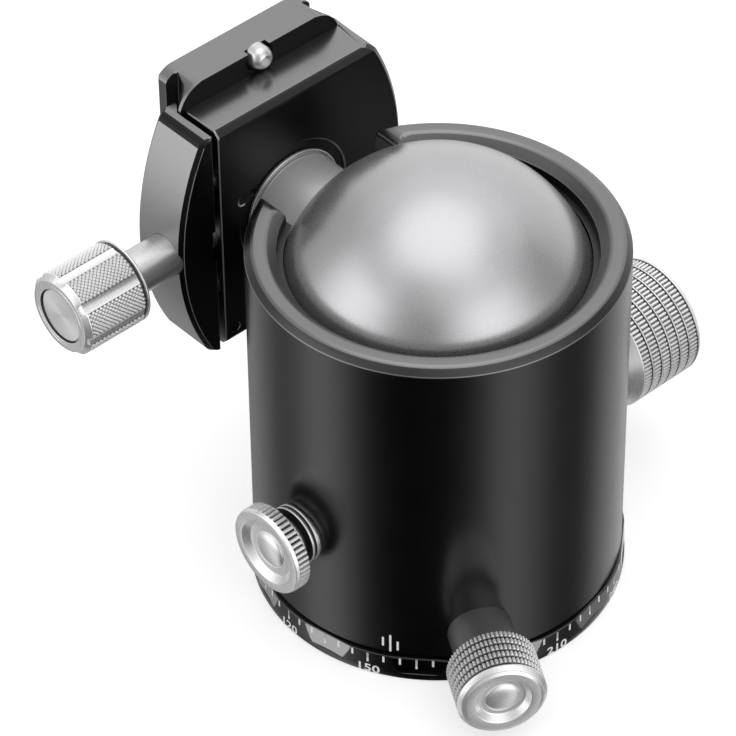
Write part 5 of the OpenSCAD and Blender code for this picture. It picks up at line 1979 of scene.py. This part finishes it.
@dataclass
class ReleasePlate:
    """The quick-release plate with its pads, its stop screw and its camera screw."""

    middle_x: float = 4.4
    middle_y: float = 0.6
    half_length: float = 25.0
    dovetail: float = 18.9
    corner: float = 6.0
    foot: float = 47.53
    top: float = 55.53
    pad_start: float = -12.1
    pad_end: float = 20.9
    pad_offset: float = 10.325
    pad_width: float = 8.55
    pad_sink: float = 0.6
    pad_gap: float = 0.04
    pad_round: float = 0.6
    ribs: int = 20
    rib_profile: tuple[Point2, ...] = ((-0.42, -0.08), (0.42, -0.08), (0.36, 0.15), (0.2, 0.25),
                                       (-0.2, 0.25), (-0.36, 0.15))
    stop_x: float = 27.7
    screw_head: float = 6.98
    screw_head_top: float = 50.23
    screw_waist: float = 2.78
    thread: float = 3.17
    thread_pitch: float = 1.27
    thread_depth: float = 0.62
    body: str = "plate"

    def width(self, x: float) -> float:
        """Half the plate's width in its outline at a distance from its middle.

        Args:
            x: The distance.

        Returns:
            The half width.
        """
        past = abs(x) - (self.half_length - self.corner)
        if past <= 0:
            return self.dovetail
        return self.dovetail - self.corner + math.sqrt(max(self.corner ** 2 - past ** 2, 0.0))

    def section(self, x: float) -> list[Point2]:
        """Section of the plate, cut off where the outline's corners are round.

        Args:
            x: Place along the plate.

        Returns:
            The section's points.
        """
        half: list[Corner] = [
            (18.9, self.foot, 0.2), (18.9, 48.13, 0.15), (14.7, 52.33, 0.2), (14.7, 52.73, 0.15),
            (17.1, 53.23, 0.15), (17.1, self.top, 0.4)]
        left: list[Corner] = [(-y, z, r) for y, z, r in reversed(half)]
        points = rounded(half + left, closed=True, each=4)
        wide = self.width(x)
        return [(self.middle_y + min(max(y, -wide), wide), z) for y, z in points]

    def build(self, gloss: bpy.types.Material, rows: RowPattern) -> None:
        """Builds the plate, its pads and its screws.

        Args:
            gloss: The plate's material.
            rows: The row pattern.
        """
        stations = along_x(self.half_length, self.section, self.middle_x, 0.3, 30, self.corner)
        here = move(self.middle_x, self.middle_y, 0)
        stop = move(self.stop_x, self.middle_y, 0)
        holes = [drill(3.225, self.foot, self.top + 1, here),
                 drill(7.05, self.foot, 50.28, here, 0.25, 96),
                 drill(4.375, self.top, self.top - 0.8, here, 0.2),
                 drill(1.16, 48.5, 52.33, stop), drill(3.0, self.foot, self.foot + 1.4, stop, 0.15)]
        for side in (-1, 1):
            low, high = self.pad_edges(side)
            holes.append(block((self.pad_start, low, self.top - self.pad_sink),
                               (self.pad_end, high, self.top + 1)).mesh("pocket"))
        # Painted shade: the plate's downward faces take the shaded black.
        made = paint(carve(stations.mesh("plate", weld=1e-3), holes),
                     lambda _, normal: int(normal.z < -0.7))
        hand_over("release_plate", [made], ON_NECK, [gloss, SHADE_BLACK.material()], self.body,
                  "black_gloss", "plate", sharp=24)
        self.pads(rows)
        self.stop_screw(stop)
        self.camera_screw(here)

    def pad_edges(self, side: int) -> Point2:
        """Lowest and highest Y of one pad."""
        mid = self.middle_y + side * self.pad_offset
        return mid - self.pad_width / 2, mid + self.pad_width / 2

    def pads(self, rows: RowPattern) -> None:
        """Makes the two ribbed rubber pads.

        Args:
            rows: The row pattern.
        """
        rubber = RUBBER.material()
        meshes = []
        foot, crown = self.top - self.pad_sink, self.top + self.pad_sink
        pitch = (self.pad_end - self.pad_start - 1.2) / self.ribs
        for side in (-1, 1):
            low, high = self.pad_edges(side)
            low, high = low + self.pad_gap, high - self.pad_gap
            start, end = self.pad_start + self.pad_gap, self.pad_end - self.pad_gap
            edge = rounded([(x, y, self.pad_round) for x, y in (
                (start, low), (end, low), (end, high), (start, high))], closed=True)
            levels = [(foot, 1.0), (crown - 0.35, 1.0), (crown - 0.25, 0.985)]
            cx, cy = (self.pad_start + self.pad_end) / 2, (low + high) / 2
            core = loft([[(cx + (x - cx) * s, cy + (y - cy) * s, z) for x, y in edge]
                         for z, s in levels])
            length = high - low - 0.9
            bar = loft([[(x, y, z) for x, z in self.rib_profile]
                        for y in (-length / 2, length / 2)])
            first = (self.pad_start + 0.6 + pitch / 2, cy, crown - 0.25)
            meshes += [core.mesh("pad"), rows.lay(bar, self.ribs, first, (pitch, 0.0, 0.0), rubber)]
        hand_over("plate_pad_strips", meshes, ON_NECK, [rubber], self.body, "pad_rubber",
                  "plate_pads", sharp=40)

    def stop_screw(self, place: Matrix) -> None:
        """Makes the small stop screw under the plate's end.

        Args:
            place: Placing matrix of its axis on the clamp.
        """
        head = lathe([(0, 45.23), *reversed(dome(2.3, 47.4, 45.23, 1.3))] + rounded([
            (2.3, 47.5, 0), (2.3, 48.93, 0.15), (1.15, 48.93, 0.05), (1.15, 52.0, 0.15),
            (0, 52.0, 0)]), 72).mesh("head")
        hexagon = lathe([(0, 46.38), (1.27, 46.38), (1.27, 44.9), (0, 44.9)], 6).mesh("hexagon")
        flare = lathe([(0, 45.6), (1.2, 45.5), (1.75, 45.1), (0, 45.1)], 48).mesh("flare")
        made = carve(head, [hexagon, flare])
        full = ON_NECK @ place
        hand_over("stop_screw_head", [made], full, [SHAFT_METAL.material(full, " stop")],
                  self.body, "silver_knob", "stop_screw")

    def camera_screw(self, place: Matrix) -> None:
        """Makes the camera screw, with its thread and its slotted head.

        Args:
            place: Placing matrix of its axis on the clamp.
        """
        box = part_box("camera_screw")
        foot, tip = -box[1][0] / MM, -box[0][0] / MM
        head, reach, pitch, top = self.screw_head, self.thread, self.thread_pitch, self.top
        section: list[Point2] = [
            (0, foot), (head - 0.4, foot), (head, foot + 0.4), (head, self.screw_head_top - 0.2),
            (head - 0.2, self.screw_head_top), (self.screw_waist, self.screw_head_top),
            (self.screw_waist, top)]
        steps = int((tip - 0.6 - top) / (pitch / 10))
        section += [(reach, top + 0.1 + (tip - 0.7 - top) * k / steps) for k in range(steps + 1)]
        section += [(2.3, tip), (0, tip)]

        def thread(r: float, z: float, a: float) -> float:
            """Radius of the thread at a height and an angle.

            Args:
                r: The radius before.
                z: Height.
                a: Angle in radians.

            Returns:
                The radius with the thread.
            """
            if r != reach:
                return r
            share = (z / pitch - a / (2 * math.pi)) % 1.0
            return reach - self.thread_depth * (1 - min(1.0, 2.4 * min(share, 1 - share)))

        made = lathe(section, 96, warp=thread).mesh("camera screw")
        slot = block((-7.5, -0.6, foot - 1), (7.5, 0.6, foot + 0.8)).mesh("slot")
        hexagon = lathe([(0, foot + 2), (2.9, foot + 2), (2.9, foot - 1), (0, foot - 1)], 6)
        made = carve(made, [slot, hexagon.mesh("hexagon")])
        full = ON_NECK @ place
        hand_over("camera_screw_threaded", [made], full, [STEEL.material(full, " camera screw")],
                  "camera_screw", "steel", "camera_screw", sharp=30)


# ---------------------------------------------------------------- inner works


@dataclass
class InnerWorks:
    """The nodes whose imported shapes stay, each with its own material."""

    nodes: dict[str, Finish] = field(default_factory=lambda: {
        "thread_insert": STEEL, "pan_washer": SLIDE_PLASTIC, "keeper_plate": STEEL,
        "keeper_screws": STEEL, "bearing_ring": BRONZE, "wedge_guide": RAW_ALUMINIUM,
        "cup_spring": SPRING_STEEL, "upper_seat_ring": BLACK_PLASTIC, "seat_cup": SEAT_PLASTIC,
    })
    across: dict[str, tuple[Finish, Matrix]] = field(default_factory=lambda: {
        "main_wedge": (STEEL, ON_MAIN_KNOB), "main_screw": (STEEL, ON_MAIN_KNOB),
        "drag_wedge": (STEEL, ON_DRAG_KNOB), "drag_screw": (STEEL, ON_DRAG_KNOB),
        "pan_brake_pad": (BRONZE, ON_PAN_KNOB), "pan_screw": (STEEL, ON_PAN_KNOB),
        "clamp_bolt": (STEEL, ON_NECK), "guide_pins": (STEEL, ON_NECK),
        "jaw_springs": (SPRING_STEEL, ON_NECK), "clamp_screw": (SHAFT_METAL, ON_CLAMP_KNOB),
        "clamp_screw_clip": (SPRING_STEEL, ON_CLAMP_KNOB),
        "camera_screw_clip": (SPRING_STEEL, ON_NECK),
    })

    def dress(self, objects: dict[str, bpy.types.Object]) -> None:
        """Gives each of these nodes its material.

        Args:
            objects: The frame's node objects by name.
        """
        placed = {name: (finish, Matrix()) for name, finish in self.nodes.items()}
        placed.update(self.across)
        for name, (finish, place) in placed.items():
            mesh = objects[name].data
            mesh.materials.clear()
            mesh.materials.append(finish.material(place, " " + name.replace("_", " ")))
            LOG.info("%s: %s", name, finish.name)


# ---------------------------------------------------------------- studio


class Sky(Enum):
    """The bands of the studio that the metal mirrors: below, beside and above the object.

    Each stop is an angle in degrees to the camera's right, and a brightness.
    """

    LOW = (
        (-160, 0.35), (-148, 0.46), (-136, 0.43), (-124, 0.35), (-112, 0.21), (-100, 0.26),
        (-88, 0.54), (-76, 0.74), (-64, 0.56), (-52, 0.23), (-40, 0.04), (-28, 0.004), (-4, 0.003),
        (8, 0.01), (20, 0.12), (32, 0.41), (44, 0.64), (56, 0.46), (68, 0.24), (80, 0.1),
        (92, 0.08), (104, 0.19), (116, 0.46), (128, 0.64), (140, 0.74), (152, 0.8), (166, 0.6))
    BESIDE = (
        (-173, 1.02), (-158, 0.88), (-143, 0.68), (-128, 0.5), (-113, 0.55), (-98, 0.95),
        (-83, 1.5), (-68, 1.75), (-53, 1.5), (-38, 0.85), (-23, 0.4), (-8, 0.35), (7, 0.8),
        (22, 1.45), (37, 1.75), (52, 1.55), (67, 1.05), (82, 0.55), (97, 0.42), (112, 0.6),
        (127, 0.85), (142, 0.97), (157, 1.03), (172, 1.05))
    ABOVE = (
        (-173, 1.15), (-143, 0.95), (-113, 0.75), (-83, 0.85), (-60, 0.9), (-38, 0.75),
        (-23, 0.6), (-8, 0.7), (15, 1.0), (37, 1.2), (52, 1.1), (82, 0.85), (97, 0.9),
        (127, 1.15), (157, 1.2), (172, 1.2))


@dataclass
class Studio:
    """The camera, the white floor, and the soft boxes that the world draws by direction.

    A band of the sky begins and is full at two heights, which are the Z of a unit direction.
    """

    eye: Corner = (426.334, -397.310, 575.302)
    aim: Corner = (-8.342, -9.347, 44.959)
    roll: float = -0.70257
    lens: float = 215.5
    front: float = -41.75
    beside_rise: Point2 = (-0.5, -0.1)
    above_rise: Point2 = (0.5, 0.66)
    overhead_rise: Point2 = (0.77, 0.97)
    overhead: float = 1.8
    floor_half: float = 6000.0
    floor_z: float = -0.02
    floor_color: float = 0.6
    floor_glow: float = 0.55

    def build(self) -> None:
        """Builds the camera, the floor and the world."""
        self.camera()
        self.floor()
        self.world()
        bpy.context.scene.view_settings.view_transform = "Standard"

    def camera(self) -> None:
        """Places the camera that sees the object as the photograph does."""
        ahead = (Vector(self.aim) - Vector(self.eye)).normalized()
        right = ahead.cross(Vector((0, 0, 1))).normalized()
        up = right.cross(ahead)
        r = math.radians(self.roll)
        side = right * math.cos(r) + up * math.sin(r)
        top = up * math.cos(r) - right * math.sin(r)
        data = bpy.data.cameras.new("Camera")
        data.lens = self.lens
        data.sensor_width = 36
        data.clip_start, data.clip_end = 0.05, 20
        cam = bpy.data.objects.new("Camera", data)
        rows = [side, top, -ahead]
        pose = Matrix([[rows[c][i] for c in range(3)] for i in range(3)]).to_4x4()
        cam.matrix_world = Matrix.Translation(Vector(self.eye) * MM) @ pose
        bpy.context.scene.collection.objects.link(cam)
        bpy.context.scene.camera = cam

    def floor(self) -> None:
        """Lays a white floor that reads as the white page but keeps a soft shadow."""
        half, z = self.floor_half, self.floor_z
        mesh = bpy.data.meshes.new("floor")
        corners = ((-half, -half, z), (half, -half, z), (half, half, z), (-half, half, z))
        mesh.from_pydata([Vector(v) * MM for v in corners], [], [(0, 1, 2, 3)])
        obj = show("floor", mesh)
        mat = bpy.data.materials.new("White floor")
        mat.use_nodes = True
        s = FieldSketch(mat.node_tree)
        shader = next(n for n in mat.node_tree.nodes if n.type == "BSDF_PRINCIPLED")
        shader.inputs["Base Color"].default_value = (*[self.floor_color] * 3, 1)
        shader.inputs["Roughness"].default_value = 0.9
        shader.inputs["Specular IOR Level"].default_value = 0.0
        shader.inputs["Emission Color"].default_value = (1, 1, 1, 1)
        seen = s.add("ShaderNodeLightPath").outputs["Is Camera Ray"]
        s.feed(shader.inputs["Emission Strength"], s.math("MULTIPLY", seen, self.floor_glow))
        mesh.materials.append(mat)
        obj.visible_glossy = False

    def band(self, s: FieldSketch, share: bpy.types.NodeSocket, sky: Sky) -> bpy.types.NodeSocket:
        """Draws one band of soft boxes round the object.

        Args:
            s: The world's tree under construction.
            share: Direction round the object, from 0 to 1, with the camera's side at 0.5.
            sky: The band.

        Returns:
            The band's brightness.
        """
        stops = sky.value
        ends = (stops[0][1] + stops[-1][1]) / 2
        knots = [(0.0, ends)] + [((a + 180) / 360, v) for a, v in stops] + [(1.0, ends)]
        curve = s.add("ShaderNodeFloatCurve", {"Value": share})
        line = curve.mapping.curves[0]
        line.points[0].location = (0.0, knots[0][1] / 2)
        line.points[1].location = (1.0, knots[-1][1] / 2)
        for x, y in knots[1:-1]:
            line.points.new(x, y / 2)
        curve.mapping.update()
        return s.math("MULTIPLY", curve.outputs[0], 2.0)

    def world(self) -> None:
        """Draws the studio by direction, and white where the camera sees it."""
        world = bpy.data.worlds.new("Studio")
        bpy.context.scene.world = world
        world.use_nodes = True
        world.node_tree.nodes.clear()
        s = FieldSketch(world.node_tree)
        way = s.add("ShaderNodeTexCoord").outputs["Generated"]
        turned = s.add("ShaderNodeVectorRotate",
                       {"Vector": way, "Angle": math.radians(-self.front)},
                       rotation_type="Z_AXIS").outputs[0]
        x, y, z = s.add("ShaderNodeSeparateXYZ", {0: turned}).outputs
        share = s.math("ADD", s.math("DIVIDE", s.math("ARCTAN2", y, x), 2 * math.pi), 0.5)
        total = self.band(s, share, Sky.LOW)
        for rise, level in ((self.beside_rise, self.band(s, share, Sky.BESIDE)),
                            (self.above_rise, self.band(s, share, Sky.ABOVE)),
                            (self.overhead_rise, self.overhead)):
            total = s.add("ShaderNodeMix", {"Factor": self.blend(s, z, *rise), "A": total,
                                            "B": level}).outputs[0]
        seen = s.add("ShaderNodeLightPath").outputs["Is Camera Ray"]
        final = s.add("ShaderNodeMix", {"Factor": seen, "A": total, "B": 1.0}).outputs[0]
        back = s.add("ShaderNodeBackground", {"Strength": final})
        back.inputs["Color"].default_value = (1, 1, 1, 1)
        s.add("ShaderNodeOutputWorld", {"Surface": back.outputs[0]})

    def blend(self, s: FieldSketch, value: bpy.types.NodeSocket, low: float,
              high: float) -> bpy.types.NodeSocket:
        """Rises smoothly from 0 to 1 between two values."""
        return s.add("ShaderNodeMapRange", {"Value": value, "From Min": low, "From Max": high},
                     interpolation_type="SMOOTHSTEP").outputs[0]


# ---------------------------------------------------------------- main


def main() -> None:
    """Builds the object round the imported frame, and then the studio."""
    logging.basicConfig(level=logging.INFO, format="%(name)s: %(message)s")
    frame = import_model()
    pattern, rows = RingPattern(), RowPattern()
    black, gloss = BLACK_ANODISED.material(), BLACK_GLOSS.material()
    white, tooth_metal = WHITE_PAINT.material(), TOOTH_METAL.material()
    BallHousing().build(black, white)
    PanningBase().build(black, white, pattern)
    BallAndNeck().build(BALL_METAL.material())
    # Painted shade between the knurled teeth and in the grooves.
    floor_shades = [KNURL_SHADE.material(), GROOVE_SHADE.material()]
    for knob in (MainKnob(), DragKnob(), PanKnob(), ClampKnob()):
        knob.build(pattern, tooth_metal, floor_shades)
    Clamp().build(gloss)
    ReleasePlate().build(gloss, rows)
    InnerWorks().dress(frame["nodes"])
    Studio().build()


if __name__ == "__main__":
    main()
